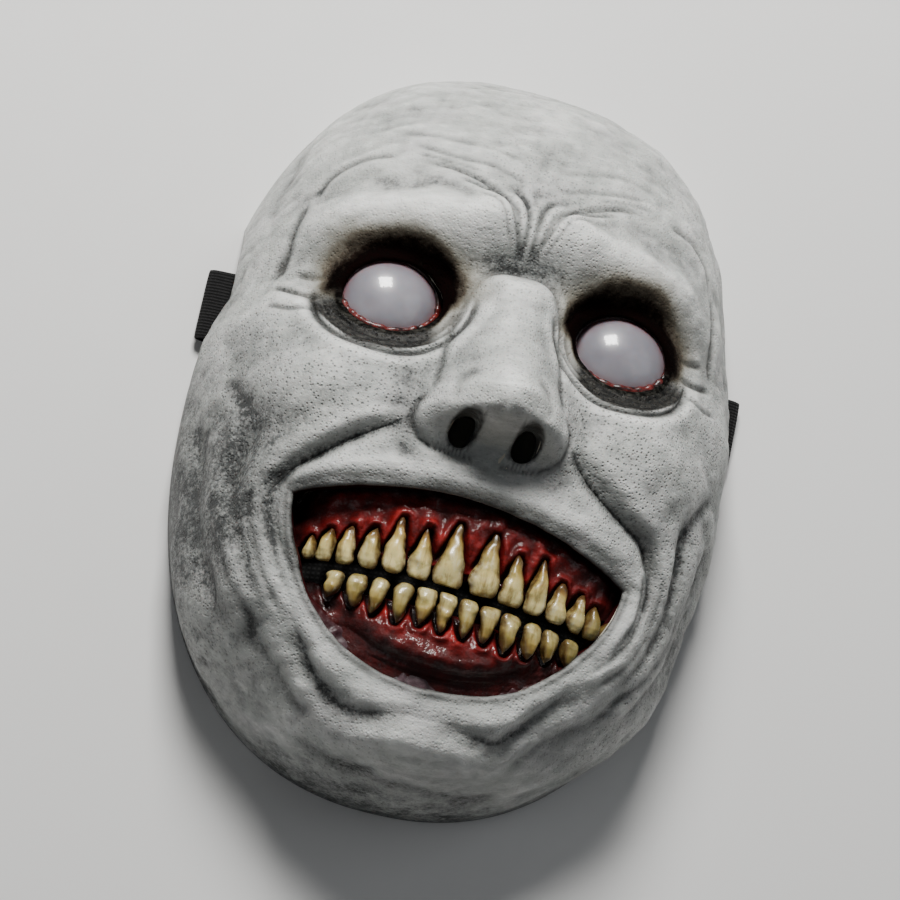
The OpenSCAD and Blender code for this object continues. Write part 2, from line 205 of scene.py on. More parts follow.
# Creases on both sides: line, half width, depth, rise on the left, rise on the right, spread of the rises
CREASES = [
    # nose root, side and wing
    ([(0, 52.5), (7, 51.5), (13, 46), (17, 36), (18.5, 22), (20, 8), (22, 1)], 1.5, 1.1, 0.2, 0.5, 5),
    ([(21, 4), (25, -2), (24.5, -9), (19, -13.5), (12, -14.5), (5, -15), (0, -16)], 1.3, 1.3, 0.1, 0.6, 3),
    ([(7, 10), (11.5, 7.5), (14, 3), (14, -3)], 2.2, 0.7, 0.4, 0.2, 3),
    # brow wraps and frown lines
    ([(1, 54), (4, 61), (7, 71), (15, 79), (26, 83), (40, 85)], 1.3, 1.1, 0.4, 0.6, 5),
    ([(3, 57), (6, 64), (10, 73), (18, 77.5), (28, 80)], 1.1, 0.9, 0.3, 0.5, 3),
    ([(5, 57), (8.5, 63), (12, 70), (19, 74.5)], 1.0, 0.7, 0.2, 0.3, 3),
    ([(2, 56), (1.5, 64), (3, 73), (8, 82)], 1.2, 1.2, 0.4, 0.4, 3),
    ([(45, 85), (56, 83), (65, 78), (71, 70)], 1.2, 0.7, 0.2, 0.4, 5),
    ([(72, 70), (75, 59), (77, 48), (79, 38)], 1.5, 1.0, 0.5, 0.2, 5),
    # crow's feet
    ([(61, 40), (67, 41.5), (74, 43)], 1.1, 1.0, 0.3, 0.3, 3),
    ([(62, 33.5), (69, 33.5), (78, 37)], 1.2, 1.2, 0.3, 0.4, 3),
    ([(63, 28), (70, 26), (77, 28)], 1.0, 0.6, 0.2, 0.2, 3),
    # forehead
    ([(4, 84), (14, 88), (28, 89), (44, 93)], 1.0, 0.35, 0.15, 0.1, 4),
    ([(3, 92), (16, 95), (34, 97), (52, 96)], 1.2, 0.25, 0.15, 0.1, 4),
    ([(16, 84), (30, 86.5), (42, 88)], 0.9, 0.3, 0.1, 0.1, 3),
    # smile folds
    ([(25, -4), (32, -9.5), (41, -16), (51, -23), (60, -29), (65, -37), (64.5, -46), (60, -56), (53, -67),
      (46, -77)], 2.9, 2.7, 2.0, 0.4, 8),
    ([(73, -12), (74, -21), (75, -31), (73, -42), (68, -54), (61, -67), (53, -80)], 2.9, 2.6, 1.0, 1.0, 6),
    ([(87, -8), (86, -22), (84, -37), (80, -51), (73, -66), (64, -80)], 3.6, 2.2, 0.7, 0.8, 6),
    ([(69, -34), (68.5, -43), (64, -55), (57, -67), (49, -79)], 1.7, 0.9, 0.4, 0.4, 3),
    ([(61, -37), (61.5, -44), (58.5, -53), (52, -64)], 1.5, 0.8, 0.2, 0.5, 3),
    ([(79, -36), (76.5, -48), (70.5, -60), (62, -73), (55, -83)], 2.0, 1.1, 0.3, 0.3, 3),
    ([(82, 2), (77, -6), (74, -13), (74, -22)], 2.8, 1.1, 0.5, 0.4, 5),
    # under the lip and under the chin
    ([(0, -96), (9, -96.5), (18, -98), (27, -97.5), (36, -92), (44, -83), (52, -71)], 3.8, 1.9, 0.4, 0.7, 7),
    ([(0, -115), (12, -115), (24, -113), (36, -108)], 2.6, 1.2, 0.2, 0.3, 5),
    ([(30, -104), (42, -97), (54, -86), (63, -74)], 2.4, 0.9, 0.3, 0.3, 4)]


def eye_frame(x, y):
    """Distance outside the eye opening's edge, and the position over its middle."""
    u, v = np.abs(x) - EYE[0], y - EYE[1]
    u, v = spin(u, v, EYE_TURN)
    q = np.sqrt((u / EYE_WIDE) ** 2 + (v / np.where(v > 0, EYE_OVER, EYE_UNDER)) ** 2) + 1e-9
    return np.where(q < 0.05, -12, (q - 1) * np.hypot(u, v) / q), u, v


def upper_edge(u):
    """Height of the upper lip's edge; u is the distance from the middle over half the mouth's width."""
    return MOUTH_Y + LIP_RISE * (1 - u ** 2) ** 0.85


def lower_edge(u):
    return MOUTH_Y - LIP_DROP * (1 - np.abs(u) ** 2.2) ** 0.6


def mouth_ring(steps=70):
    """The mouth opening's closed outline."""
    u = np.cos(np.linspace(0, pi, steps + 1))
    x = np.concatenate([u, -u[1:-1], u[:1]])
    y = np.concatenate([upper_edge(u), lower_edge(-u[1:-1]), upper_edge(u[:1])])
    return np.stack([x * MOUTH_HALF, y], 1)


MOUTH_RING = mouth_ring()


def crooked(points, shift):
    """Moves points from the mouth's own axes to their place on the face."""
    x, y = spin(points[:, 0], points[:, 1] - BITE, GRIN_TURN)
    return np.stack([shift + x, BITE + y, points[:, 2]], 1)


def straight(x, y, shift):
    """Places on the face in the mouth's own axes."""
    x, y = spin(x - shift, y - BITE, -GRIN_TURN)
    return x, BITE + y


def mouth_distance(x, y):
    """Distance from the mouth opening's edge, positive outside it, and never more than 15."""
    x, y = straight(x, y, LIPS_SHIFT)
    near = (np.abs(x) < MOUTH_HALF + 15) & (y < MOUTH_Y + LIP_RISE + 15) & (y > MOUTH_Y - LIP_DROP - 15)
    away = np.full(len(x), 15.0)
    away[near] = np.minimum(15, np.abs(from_line(MOUTH_RING, x[near], y[near])[0]))
    u = np.clip(np.abs(x) / MOUTH_HALF, 0, 1)
    inside = (u < 1) & (y < upper_edge(u)) & (y > lower_edge(u))
    return np.where(inside, -away, away)


def nostril_distance(x, y):
    return np.hypot((np.abs(x) - NOSTRIL[0]) * 0.95, y - NOSTRIL[1]) - NOSTRIL[2]


# Distance below the eye opening, height or strength, width
LID_FOLDS = [(3.2, -1.1, 0.8), (5.9, -0.8, 0.8), (9, -2, 1), (7.3, 0.7, 1.2), (12, 1.1, 2.6)]
LID_LINES = [(9, 0.85, 0.8), (5.9, 0.5, 0.6), (3.2, 0.6, 0.7)]


def sculpt(x, y, z, fine=True):
    """How far the face stands out from its blank, and how much dark paint and painted shade lies in its
    folds.
    """
    points = np.stack([x, y, z], 1)
    rise = nose(x, y)
    for row in PAIRED:
        rise += bump(x, y, row) + bump(-x, y, row)
    for row in SINGLE:
        rise += bump(x, y, row)
    wash_and_shade = np.zeros(len(x))
    shift_x = 1.6 * waves(points, 30, 3)
    shift_y = 1.6 * waves(points, 30, 4)
    off_middle = smooth(np.abs(x) / 12)
    px, py = np.abs(x) + shift_x * off_middle, y + shift_y * off_middle
    for corners, width, depth, left, right, spread in CREASES:
        line = smooth_line(corners)
        reach = 3.5 * spread
        low, high = line.min(0) - reach, line.max(0) + reach
        near = (px > low[0]) & (px < high[0]) & (py > low[1]) & (py < high[1])
        d, along = from_line(line, px[near], py[near])
        first = 1.0 if corners[0][0] <= 0 else 0.0
        fade = smooth(np.minimum((along + first) / 0.18, (1 - along) / 0.22))
        away = np.abs(d)
        side = 1.5 * np.where(d > 0, left, right)
        rise[near] += fade * (side * gauss(away - 1.3 * width, spread) - 1.35 * depth * gauss(d, width))
        # a sharp dark line of paint in the crease, and a broader painted shade about it
        tone = 0.65 * gauss(d, 0.45 * width) + 0.35 * gauss(d, 1.8 * width)
        paint = min(0.8, 0.15 + 0.55 * depth / width) * min(1, 1.7 / width)
        wash_and_shade[near] = np.maximum(wash_and_shade[near], fade * paint * tone)
    if fine:
        rise += 0.65 * waves(points, 17, 5) + 0.22 * waves(points, 6, 6) + 0.1 * waves(points, 3.2, 7)
    # the lower lid's two folds, and the step down from the cheek to them
    away, _, v = eye_frame(x, y)
    below = smooth((3 - v) / 7) * smooth((away + 1) / 1.5)
    for place, height, width in LID_FOLDS:
        rise += below * height * gauss(away - place, width)
    # dark lines in the lower lid's folds, partly paint and partly painted shade
    lines = sum(tone * gauss(away - place, width) for place, tone, width in LID_LINES)
    wash_and_shade = np.maximum(wash_and_shade, below * lines)
    above = smooth((v + 2) / 6)
    rise += above * (-1.2 * gauss(away - 4.5, 1.6) + 0.5 * gauss(away - 8, 2))
    # lips thin out and turn in at their edge
    lip = mouth_distance(x, y)
    rise += -1.6 * gauss(np.maximum(lip, 0), 2.4) + 1.0 * gauss(lip - 6, 3.5)
    return rise, wash_and_shade


def face_points(disc, depth=0.0, fine=True):
    """Points of the face for points of the unit disc, with the amount of dark paint and painted shade on
    each.
    """
    flat, share = blank(disc)
    push = flat + np.outer(100 * share, (0, 0, 1))
    push = unit(push)
    rise, wash_and_shade = sculpt(flat[:, 0], flat[:, 1], flat[:, 2], fine)
    rise = rise * smooth(share / 0.3)
    # the lids are a ball's skin over each dome, blended into the face
    for side in (-1, 1):
        off = flat - np.array([side * EYE[0], EYE[1], DOME_Z])
        b = (off * push).sum(1)
        root = b * b - (off * off).sum(1) + LID_R ** 2
        lid = -b + np.sqrt(np.maximum(root, 0))
        lid = np.where(root > 0, lid, -50)
        gap = np.abs(rise - lid)
        rise = np.maximum(rise, lid) + LID_BLEND * np.log1p(np.exp(-gap / LID_BLEND)) * (gap < 20)
    return flat + (rise - depth)[:, None] * push, wash_and_shade


# ---------- cutting the openings ----------

def lattice(spacing):
    """A triangle lattice over the unit disc, a little larger than it."""
    rows = int(1.04 / (spacing * 0.866)) + 2
    columns = int(1.04 / spacing) + 2
    index = {}
    points = []
    for j in range(-rows, rows + 1):
        for i in range(-columns, columns + 1):
            p = ((i + 0.5 * (j % 2)) * spacing, j * spacing * 0.8660254)
            if p[0] ** 2 + p[1] ** 2 < (1 + 1.5 * spacing) ** 2:
                index[(i, j)] = len(points)
                points.append(p)
    faces = []
    for (i, j), a in index.items():
        shift = j % 2
        for three in (((i + 1, j), (i + shift, j + 1)), ((i + 1, j), (i + shift, j - 1))):
            if three[0] in index and three[1] in index:
                b, c = index[three[0]], index[three[1]]
                faces.append((a, b, c) if three[1][1] > j else (a, c, b))
    return np.array(points), np.array(faces)


def cut(points, faces, value):
    """Keeps the part of a flat mesh where value(points) > 0, with a clean edge."""
    step = 1e-4
    v = value(points)
    near = np.flatnonzero(np.abs(v) < 4)
    grad = np.stack([value(points[near] + way) - v[near] for way in ([step, 0], [0, step])], 1) / step
    size = np.linalg.norm(grad, axis=1) + 1e-9
    spacing = np.median(np.linalg.norm(points[faces[:, 0]] - points[faces[:, 1]], axis=1))
    pick = np.abs(v[near]) / size < 0.28 * spacing
    snap, grad, size = near[pick], grad[pick], size[pick]
    points = points.copy()
    for _ in range(2):
        points[snap] -= (v[snap] / size ** 2)[:, None] * grad
        v[snap] = value(points[snap])
    close = np.zeros(len(points), bool)
    close[snap] = True
    sign = np.where(close, 0, np.sign(v)).astype(int)
    fs = sign[faces]
    whole = (fs.min(1) >= 0) & (fs.max(1) > 0)
    mixed = (fs.min(1) < 0) & (fs.max(1) > 0)
    new_points = list(map(tuple, points))
    made = {}

    def crossing(a, b):
        key = (min(a, b), max(a, b))
        if key not in made:
            k = v[a] / (v[a] - v[b])
            made[key] = len(new_points)
            new_points.append(tuple(points[a] + k * (points[b] - points[a])))
        return made[key]

    extra = []
    for face in faces[mixed]:
        ring = []
        for n in range(3):
            a, b = int(face[n]), int(face[(n + 1) % 3])
            if sign[a] >= 0:
                ring.append(a)
            if sign[a] * sign[b] < 0:
                ring.append(crossing(a, b))
        for n in range(1, len(ring) - 1):
            extra.append((ring[0], ring[n], ring[n + 1]))
    faces = np.vstack([faces[whole]] + ([np.array(extra)] if extra else []))
    points = np.array(new_points)
    used = np.zeros(len(points), bool)
    used[faces.ravel()] = True
    remap = np.cumsum(used) - 1
    return points[used], remap[faces]


def loops(faces):
    """The mesh's border as closed rings of point numbers."""
    edges = np.vstack([faces[:, [0, 1]], faces[:, [1, 2]], faces[:, [2, 0]]])
    seen = set(map(tuple, edges.tolist()))
    follow = {a: b for a, b in seen if (b, a) not in seen}
    rings = []
    while follow:
        start = next(iter(follow))
        ring = [start]
        here = follow.pop(start)
        while here != start and here in follow:
            ring.append(here)
            here = follow.pop(here)
        rings.append(np.array(ring))
    return rings


def cut_face(spacing, depth=0.0, fine=True):
    """The face with all its openings, its dark paint and painted shade, and its border rings."""
    openings = (
        lambda p: eye_frame(*p.T[:2])[0],
        lambda p: mouth_distance(*p.T[:2]),
        lambda p: nostril_distance(*p.T[:2]),
        lambda p: np.hypot(p[:, 1] + MID - STRAP_Y, p[:, 2] - NOTCH_Z) - NOTCH_R)
    points, faces = lattice(spacing)
    points, faces = cut(points, faces, lambda disc: 1 - np.hypot(disc[:, 0], disc[:, 1]))
    for opening in openings:
        points, faces = cut(points, faces, lambda disc: opening(face_points(disc, 0.0, False)[0]))
    out, wash_and_shade = face_points(points, depth, fine)
    return out, faces, wash_and_shade, loops(faces)


# ---------- materials ----------

class Paint:
    """A material and the few node helpers that all of them share."""

    def __init__(self, name, **sockets):
        self.material = bpy.data.materials.new(name)
        self.material.use_nodes = True
        self.tree = self.material.node_tree
        self.shader = self.tree.nodes["Principled BSDF"]
        for key, value in sockets.items():
            self.shader.inputs[key.replace("_", " ")].default_value = value
        self.place = self.add("ShaderNodeTexCoord").outputs["Object"]

    def add(self, kind, links=None, **settings):
        node = self.tree.nodes.new(kind)
        for key, value in settings.items():
            setattr(node, key, value)
        for key, value in (links or {}).items():
            if isinstance(value, bpy.types.NodeSocket):
                self.tree.links.new(value, node.inputs[key])
            else:
                node.inputs[key].default_value = value
        return node

    def stretched(self, scale):
        return self.add("ShaderNodeMapping", {"Vector": self.place, "Scale": scale}).outputs[0]

    def noise(self, scale, detail=4.0, rough=0.55, place=None):
        links = {"Vector": place or self.place, "Scale": scale, "Detail": detail, "Roughness": rough}
        return self.add("ShaderNodeTexNoise", links).outputs["Fac"]

    def cells(self, scale):
        return self.add("ShaderNodeTexVoronoi", {"Vector": self.place, "Scale": scale}).outputs["Distance"]

    def value(self, name):
        return self.add("ShaderNodeAttribute", attribute_name=name).outputs["Fac"]

    def math(self, how, a, b, clamp=False):
        return self.add("ShaderNodeMath", {0: a, 1: b}, operation=how, use_clamp=clamp).outputs[0]

    def times(self, a, b, clamp=True):
        return self.math("MULTIPLY", a, b, clamp)

    def spread(self, value, low, high, to_low=0.0, to_high=1.0):
        links = {"Value": value, "From Min": low, "From Max": high, "To Min": to_low, "To Max": to_high}
        return self.add("ShaderNodeMapRange", links).outputs[0]

    def grain(self, scale, detail, *limits):
        return self.spread(self.noise(scale, detail), *limits)

    def uneven(self, scale, detail, low, high):
        """Roughness that wanders between two values."""
        return self.grain(scale, detail, 0.3, 0.7, low, high)

    def mix(self, factor, a, b):
        a, b = (c if isinstance(c, bpy.types.NodeSocket) else (*c, 1) for c in (a, b))
        return self.add("ShaderNodeMix", {0: factor, 6: a, 7: b}, data_type="RGBA").outputs[2]

    def base(self, factor, a, b):
        """Starts the colour that tint paints over and finish uses."""
        self.colour = self.mix(factor, a, b)

    def tint(self, factor, colour):
        self.colour = self.mix(factor, self.colour, colour)

    def ramp(self, value, stops):
        node = self.add("ShaderNodeValToRGB", {"Fac": value})
        bar = node.color_ramp.elements
        bar[0].position, bar[1].position = stops[0][0], stops[-1][0]
        for place, _ in stops[1:-1]:
            bar.new(place)
        for element, (_, colour) in zip(bar, stops):
            element.color = (*colour, 1)
        return node.outputs["Color"]

    def bump(self, height, depth_mm, strength, after=None):
        links = {"Height": height, "Strength": strength, "Distance": depth_mm * MM}
        if after:
            links["Normal"] = after
        return self.add("ShaderNodeBump", links).outputs["Normal"]

    def bumps(self, scale, detail, *limits):
        return self.bump(self.noise(scale, detail), *limits)

    def finish(self, rough, normal, coat_normal=None):
        ends = {"Base Color": self.colour, "Roughness": rough, "Normal": normal, "Coat Normal": coat_normal}
        for key, socket in ends.items():
            if socket is not None:
                self.tree.links.new(socket, self.shader.inputs[key])
        return self.material


def latex_paint(name, shine):
    """White latex with streaks, pores, dark paint, painted shade and highlights, and the browns and blacks of
    the eye sockets.
    """
    p = Paint(name, Specular_IOR_Level=shine, Subsurface_Weight=0.04, Subsurface_Scale=0.0015)
    lumps = p.noise(105, 9, 0.68)
    streaks = p.noise(230, 6, 0.66, p.stretched((0.45, 1.5, 1)))
    pores, holes = p.value("pores"), p.cells(760)
    p.base(p.grain(30, 5, 0.35, 0.68), (0.39, 0.406, 0.39), (0.6, 0.615, 0.585))
    p.tint(p.grain(62, 3, 0.45, 0.75, 0, 0.3), (0.58, 0.545, 0.58))
    # darker in the hollows of the lumps: partly dark paint settled there, partly painted shade
    p.tint(p.spread(lumps, 0.45, 0.32, 0, 0.3), (0.22, 0.228, 0.22))
    p.tint(p.spread(streaks, 0.53, 0.72, 0, 0.5), (0.8, 0.81, 0.775))
    p.tint(p.spread(streaks, 0.45, 0.3, 0, 0.4), (0.25, 0.26, 0.25))
    p.tint(p.times(p.spread(p.noise(900, 4, 0.7), 0.52, 0.66, 0, 0.4), pores, False), (0.2, 0.205, 0.2))
    mottle = p.spread(p.math("ADD", lumps, p.noise(650, 5, 0.7)), 0.78, 1.18, 1.5, 0.45)
    # painted shade together with grey paint, as the skin's shade says
    p.tint(p.times(p.times(p.value("shade"), mottle, False), 0.95), (0.052, 0.055, 0.055))
    # painted highlight on the ridges
    p.tint(p.times(p.value("crest"), p.spread(streaks, 0.35, 0.62, 0.5, 1.1)), (0.88, 0.89, 0.86))
    p.tint(p.times(p.times(p.spread(holes, 0.04, 0.3, 1, 0), pores, False), 0.8), (0.09, 0.092, 0.088))
    p.tint(p.times(p.spread(p.cells(150), 0.035, 0.07, 0.8, 0), pores, False), (0.05, 0.048, 0.044))
    # dark paint and painted shade in the folds and round the openings
    p.tint(p.times(p.value("wash_and_shade"), p.spread(streaks, 0.3, 0.7, 1.2, 0.65)), (0.035, 0.035, 0.033))
    socket = p.times(p.value("socket"), p.spread(p.noise(330, 5, 0.7), 0.3, 0.7, 0.85, 1.12))
    p.tint(p.spread(socket, 0.0, 0.5), p.ramp(socket, [
        (0.0, (0.42, 0.41, 0.37)), (0.35, (0.25, 0.235, 0.19)), (0.58, (0.085, 0.072, 0.055)),
        (0.76, (0.012, 0.008, 0.006)), (0.88, (0.002, 0.001, 0.0008)), (1.0, (0.003, 0.0007, 0.0006))]))
    folds = p.noise(420, 5, 0.6, p.stretched((1.0, 2.2, 1)))
    band = p.mix(p.spread(folds, 0.45, 0.68), (0.005, 0.005, 0.0045), (0.045, 0.043, 0.037))
    p.tint(p.value("lidband"), band)
    deep = p.times(p.spread(holes, 0.0, 0.4), p.spread(pores, 0, 1, 0.3, 1), False)
    normal = p.bump(streaks, 0.55, 0.6, p.bump(lumps, 1.3, 0.75))
    normal = p.bumps(1500, 3, 0.07, 0.6, p.bump(deep, 0.55, 0.85, normal))
    rough = p.math("MAXIMUM", p.uneven(90, 4, 0.45, 0.62), p.spread(socket, 0.1, 0.6, 0, 0.88))
    return p.finish(rough, normal)


def mottled(name, grain, dark, light, rough, bumps, tints=(), **sockets):
    """Two mottled tones under a few tints; a tint's mask is a shade's name or a function of the paint."""
    p = Paint(name, **sockets)
    p.base(p.grain(*grain), dark, light)
    for mask, colour in tints:
        p.tint(p.value(mask) if isinstance(mask, str) else mask(p), colour)
    return p.finish(p.uneven(*rough) if rough else None, p.bumps(*bumps))


def gum_paint():
    p = Paint("wet_gum", Coat_Weight=0.5, Coat_Roughness=0.1, Specular_IOR_Level=0.25, Subsurface_Weight=0.05,
              Subsurface_Scale=0.002)
    p.colour = p.ramp(p.times(p.value("redness_and_shade"), p.grain(260, 5, 0.3, 0.65, 0.35, 1.15)), [
        (0.0, (0.006, 0.0006, 0.0006)), (0.3, (0.085, 0.003, 0.0025)), (0.65, (0.17, 0.005, 0.005)),
        (1.0, (0.3, 0.018, 0.016))])
    p.tint(p.grain(600, 3, 0.5, 0.7, 0, 0.5), (0.045, 0.0015, 0.001))
    wet = p.bump(p.noise(330, 4, 0.6), 0.7, 0.8)
    return p.finish(p.uneven(300, 4, 0.45, 0.7), wet, p.bumps(420, 3, 0.8, 0.8))


def tooth_paint():
    p = Paint("stained_tooth", Coat_Weight=0.35, Coat_Roughness=0.12, Subsurface_Weight=0.08,
              Subsurface_Scale=0.002)
    p.colour = p.ramp(p.math("ADD", p.value("along"), p.grain(300, 4, 0.3, 0.7, -0.09, 0.09)), [
        (0.0, (0.36, 0.25, 0.08)), (0.1, (0.8, 0.69, 0.33)), (0.4, (0.76, 0.62, 0.24)),
        (0.64, (0.52, 0.37, 0.1)), (0.8, (0.24, 0.12, 0.03)), (0.92, (0.045, 0.014, 0.006)),
        (1.0, (0.01, 0.004, 0.002))])
    streak = p.noise(380, 5, 0.66, p.stretched((1, 0.16, 1)))
    p.tint(p.spread(streak, 0.5, 0.66, 0, 0.8), (0.24, 0.15, 0.035))
    p.tint(p.spread(streak, 0.43, 0.3, 0, 0.8), (0.96, 0.91, 0.62))
    p.tint(p.grain(260, 4, 0.53, 0.66, 0, 0.6), (0.3, 0.25, 0.06))
    # darker by each tooth's tone, which holds painted shade towards the mouth's corners
    p.tint(p.times(p.value("tone"), 0.75), (0.15, 0.12, 0.03))
    p.tint(p.times(p.value("border"), p.grain(500, 4, 0.3, 0.6, 0.5, 1.1)), (0.075, 0.035, 0.01))
    return p.finish(p.spread(streak, 0.3, 0.7, 0.22, 0.45), p.bump(streak, 0.22, 0.5))


def weave(name, colour_a, colour_b, pitch, depth, ribs):
    """Woven cloth; ribs keeps the threads across it whole."""
    p = Paint(name, Specular_IOR_Level=0.2, Sheen_Weight=0.06, Sheen_Roughness=0.5)
    waving = {"Vector": p.place, "Scale": 1 / (pitch * MM) / 6.2832 * 2, "Distortion": 0.4, "Detail": 1.0}
    across, along = (p.add("ShaderNodeTexWave", waving, bands_direction=way).outputs["Fac"] for way in "YX")
    cloth = p.times(across, p.spread(along, 0, 1, 0.6 if ribs else 0.0, 1.0), False)
    fuzz = p.noise(900, 4)
    p.base(p.times(cloth, p.spread(fuzz, 0.2, 0.8, 0.6, 1.2)), colour_a, colour_b)
    return p.finish(p.spread(fuzz, 0.3, 0.7, 0.7, 0.95), p.bump(cloth, depth, 0.9))


def pits(p):
    return p.spread(p.cells(300), 0.02, 0.12, 0.5, 0)


def veins(p):
    return p.times(p.value("rim"), p.grain(190, 4, 0.3, 0.6, 0.4, 1.1))


def lid_shadow(p):
    return p.times(p.value("top"), 0.92, False)


LATEX, SOCKET = latex_paint("painted_latex", 0.3), latex_paint("painted_socket", 0.02)
RAW = mottled("raw_latex", (60, 5, 0.35, 0.65), (0.5, 0.47, 0.39), (0.64, 0.6, 0.5), (150, 4, 0.5, 0.75),
              (260, 6, 0.4, 0.6), [(pits, (0.3, 0.27, 0.2))], Specular_IOR_Level=0.35)
GUM, TOOTH = gum_paint(), tooth_paint()
EYEBALL = mottled("milky_eye", (55, 3, 0.35, 0.7), (0.2, 0.195, 0.225), (0.3, 0.29, 0.32), None,
                  (60, 2, 0.12, 0.25), [(veins, (0.16, 0.022, 0.026))], Coat_Weight=1.0, Coat_Roughness=0.09,
                  Roughness=0.3, Subsurface_Weight=0.25, Subsurface_Scale=0.003)
RED_LID = mottled("raw_lid", (420, 5, 0.42, 0.66), (0.012, 0.0015, 0.0015), (0.17, 0.014, 0.011), None,
                  (500, 4, 0.5, 0.8), [(lid_shadow, (0.006, 0.002, 0.002))], Coat_Weight=0.35,
                  Coat_Roughness=0.2, Roughness=0.45, Specular_IOR_Level=0.3)
LINING = mottled("inner_lip", (500, 4, 0.35, 0.65), (0.03, 0.013, 0.017), (0.085, 0.048, 0.058),
                 (200, 4, 0.42, 0.6), (650, 4, 0.35, 0.7),
                 [("furrow", (0.016, 0.008, 0.01)), ("deep", (0.035, 0.0025, 0.003))],
                 Coat_Weight=0.12, Coat_Roughness=0.35, Specular_IOR_Level=0.25)
PLASTIC = mottled("moulded_black", (300, 5, 0.4, 0.7), (0.012, 0.012, 0.013), (0.03, 0.03, 0.031),
                  (500, 4, 0.38, 0.6), (1400, 3, 0.05, 0.7))
BRASS = mottled("aged_brass", (420, 5, 0.4, 0.7), (0.42, 0.3, 0.13), (0.62, 0.48, 0.24), (700, 4, 0.22, 0.45),
                (1600, 2, 0.03, 0.6), Metallic=1.0)
ELASTIC = weave("elastic_webbing", (0.003, 0.003, 0.003), (0.016, 0.016, 0.017), 1.1, 0.3, True)
NET = weave("black_net", (0.002, 0.002, 0.002), (0.014, 0.014, 0.014), 1.6, 0.3, False)
THREAD = weave("sewing_thread", (0.012, 0.012, 0.012), (0.035, 0.035, 0.036), 0.5, 0.05, True)


# ---------- skin ----------

def vertex_normals(points, faces):
    n = np.cross(points[faces[:, 1]] - points[faces[:, 0]], points[faces[:, 2]] - points[faces[:, 0]])
    total = np.zeros_like(points)
    for k in range(3):
        np.add.at(total, faces[:, k], n)
    return unit(total)


def hollows(points, faces, normals, turns):
    """How far each point lies under the mesh's own smoothed shape, in millimetres."""
    a, b = faces.ravel(), np.roll(faces, -1, 1).ravel()
    count = np.bincount(a, minlength=len(points)) + np.bincount(b, minlength=len(points))
    p, n = points, len(points)
    for _ in range(turns):
        sums = [np.bincount(a, p[b, k], n) + np.bincount(b, p[a, k], n) for k in range(3)]
        p = np.stack(sums, 1) / count[:, None]
    under = ((p - points) * normals).sum(1)
    return under - np.median(under)


def edge_frame(points, normals, ring):
    """At each point of a border ring: the surface normal, and the direction back over the surface."""
    n = normals[ring]
    for _ in range(3):
        n = n + np.roll(n, 1, 0) + np.roll(n, -1, 0)
    n = unit(n)
    return n, unit(np.cross(n, np.roll(points[ring], -2, 0) - np.roll(points[ring], 2, 0)))


def to_world(points):
    return points + np.array([0, MID, 0])


def skin_shades(points, faces, normals, wash_and_shade):
    """How strongly each kind of paint, painted shade and highlight among them, lies on every point of the
    skin.
    """
    x, y, z = points.T
    wide_x = np.abs(x)
    away, u, v = eye_frame(x, y)
    lip, hole = mouth_distance(x, y), nostril_distance(x, y)
    lump, big = waves(points, 12, 21), waves(points, 34, 22)
    # the eye sockets, and the bare band of the lower lid
    above = smooth((v + 5) / 8)
    out = np.maximum(away, 0)
    reach = 6.8 + 3.2 * smooth((v - 2) / 10) + 1.3 * lump
    socket = above * gauss(out, reach) + (1 - above) * gauss(out, 1.2)
    socket += 0.35 * smooth((-u - 8) / 8) * smooth((9 - away) / 9)
    lidband = (1 - above) * smooth((8.2 + 0.6 * lump - away) / 0.8) * smooth((17 + u) / 5)
    # dark rims painted round the nostrils and along the lips' edge as their shade
    wash_and_shade = np.maximum(wash_and_shade, 0.9 * gauss(np.maximum(hole, 0), 0.5))
    wash_and_shade = np.maximum(wash_and_shade, 0.75 * gauss(np.maximum(lip, 0), 1.1))
    cheeks = gauss(np.hypot((wide_x - 52) / 1.2, y - 2), 20)
    pores = 0.25 + 0.9 * cheeks + 0.35 * gauss(np.abs(y - 10), 25) + 0.25 * big
    pores = pores + 0.7 * smooth((wide_x - 58) / 14) * smooth((30 - y) / 20)
    # grey airbrushed paint together with painted shade: low down, on the cheeks (more on one side), on the
    # chin, and in the hollows
    low = smooth((36 - z) / 34)
    dark_side = np.where(x < 0, 1.0, 0.5)
    shade = 0.5 * low * smooth((60 - y) / 50) + 0.12 * low
    shade += 0.9 * dark_side * gauss(np.hypot((wide_x - 82) / 0.8, y + 44), 30)
    shade += 0.22 * smooth((-x - 38) / 40) * smooth((30 - y) / 40)
    shade += 0.35 * dark_side * gauss(np.hypot(wide_x - 75, (y + 16) * 0.8), 8)
    shade += 0.4 * smooth((-106 - y) / 14) + 0.15 * gauss(np.hypot(wide_x - 24, y + 99), 13)
    shade += 0.06 * np.maximum(big, 0)
    near, wide = hollows(points, faces, normals, 5), hollows(points, faces, normals, 50)
    clear = smooth((lip - 2) / 3) * smooth((away - 1) / 3) * smooth((hole - 5) / 8) * smooth((z - 3) / 8)
    sunk = 0.8 * np.clip(wide / 1.2, 0, 1) + 0.3 * np.clip(near / 0.2, 0, 1)
    shade = np.clip(shade + clear * (0.45 + 0.4 * dark_side) * sunk, 0, 1)
    # painted highlight on the ridges
    crest = 0.6 * np.clip(-wide / 1.3, 0, 1) + 0.2 * np.clip(-near / 0.2, 0, 1)
    return {"crest": clear * crest * (1 - shade), "wash_and_shade": wash_and_shade, "socket": np.clip(socket, 0, 1),
            "lidband": lidband, "pores": np.clip(pores, 0.1, 1), "shade": shade}


def border_kind(count, centre, spacing):
    if count > 2 * pi / spacing * 0.55:
        return "rim"
    if abs(centre[0]) < 5:
        return "mouth"
    return "eye" if centre[1] > 15 else "nostril"


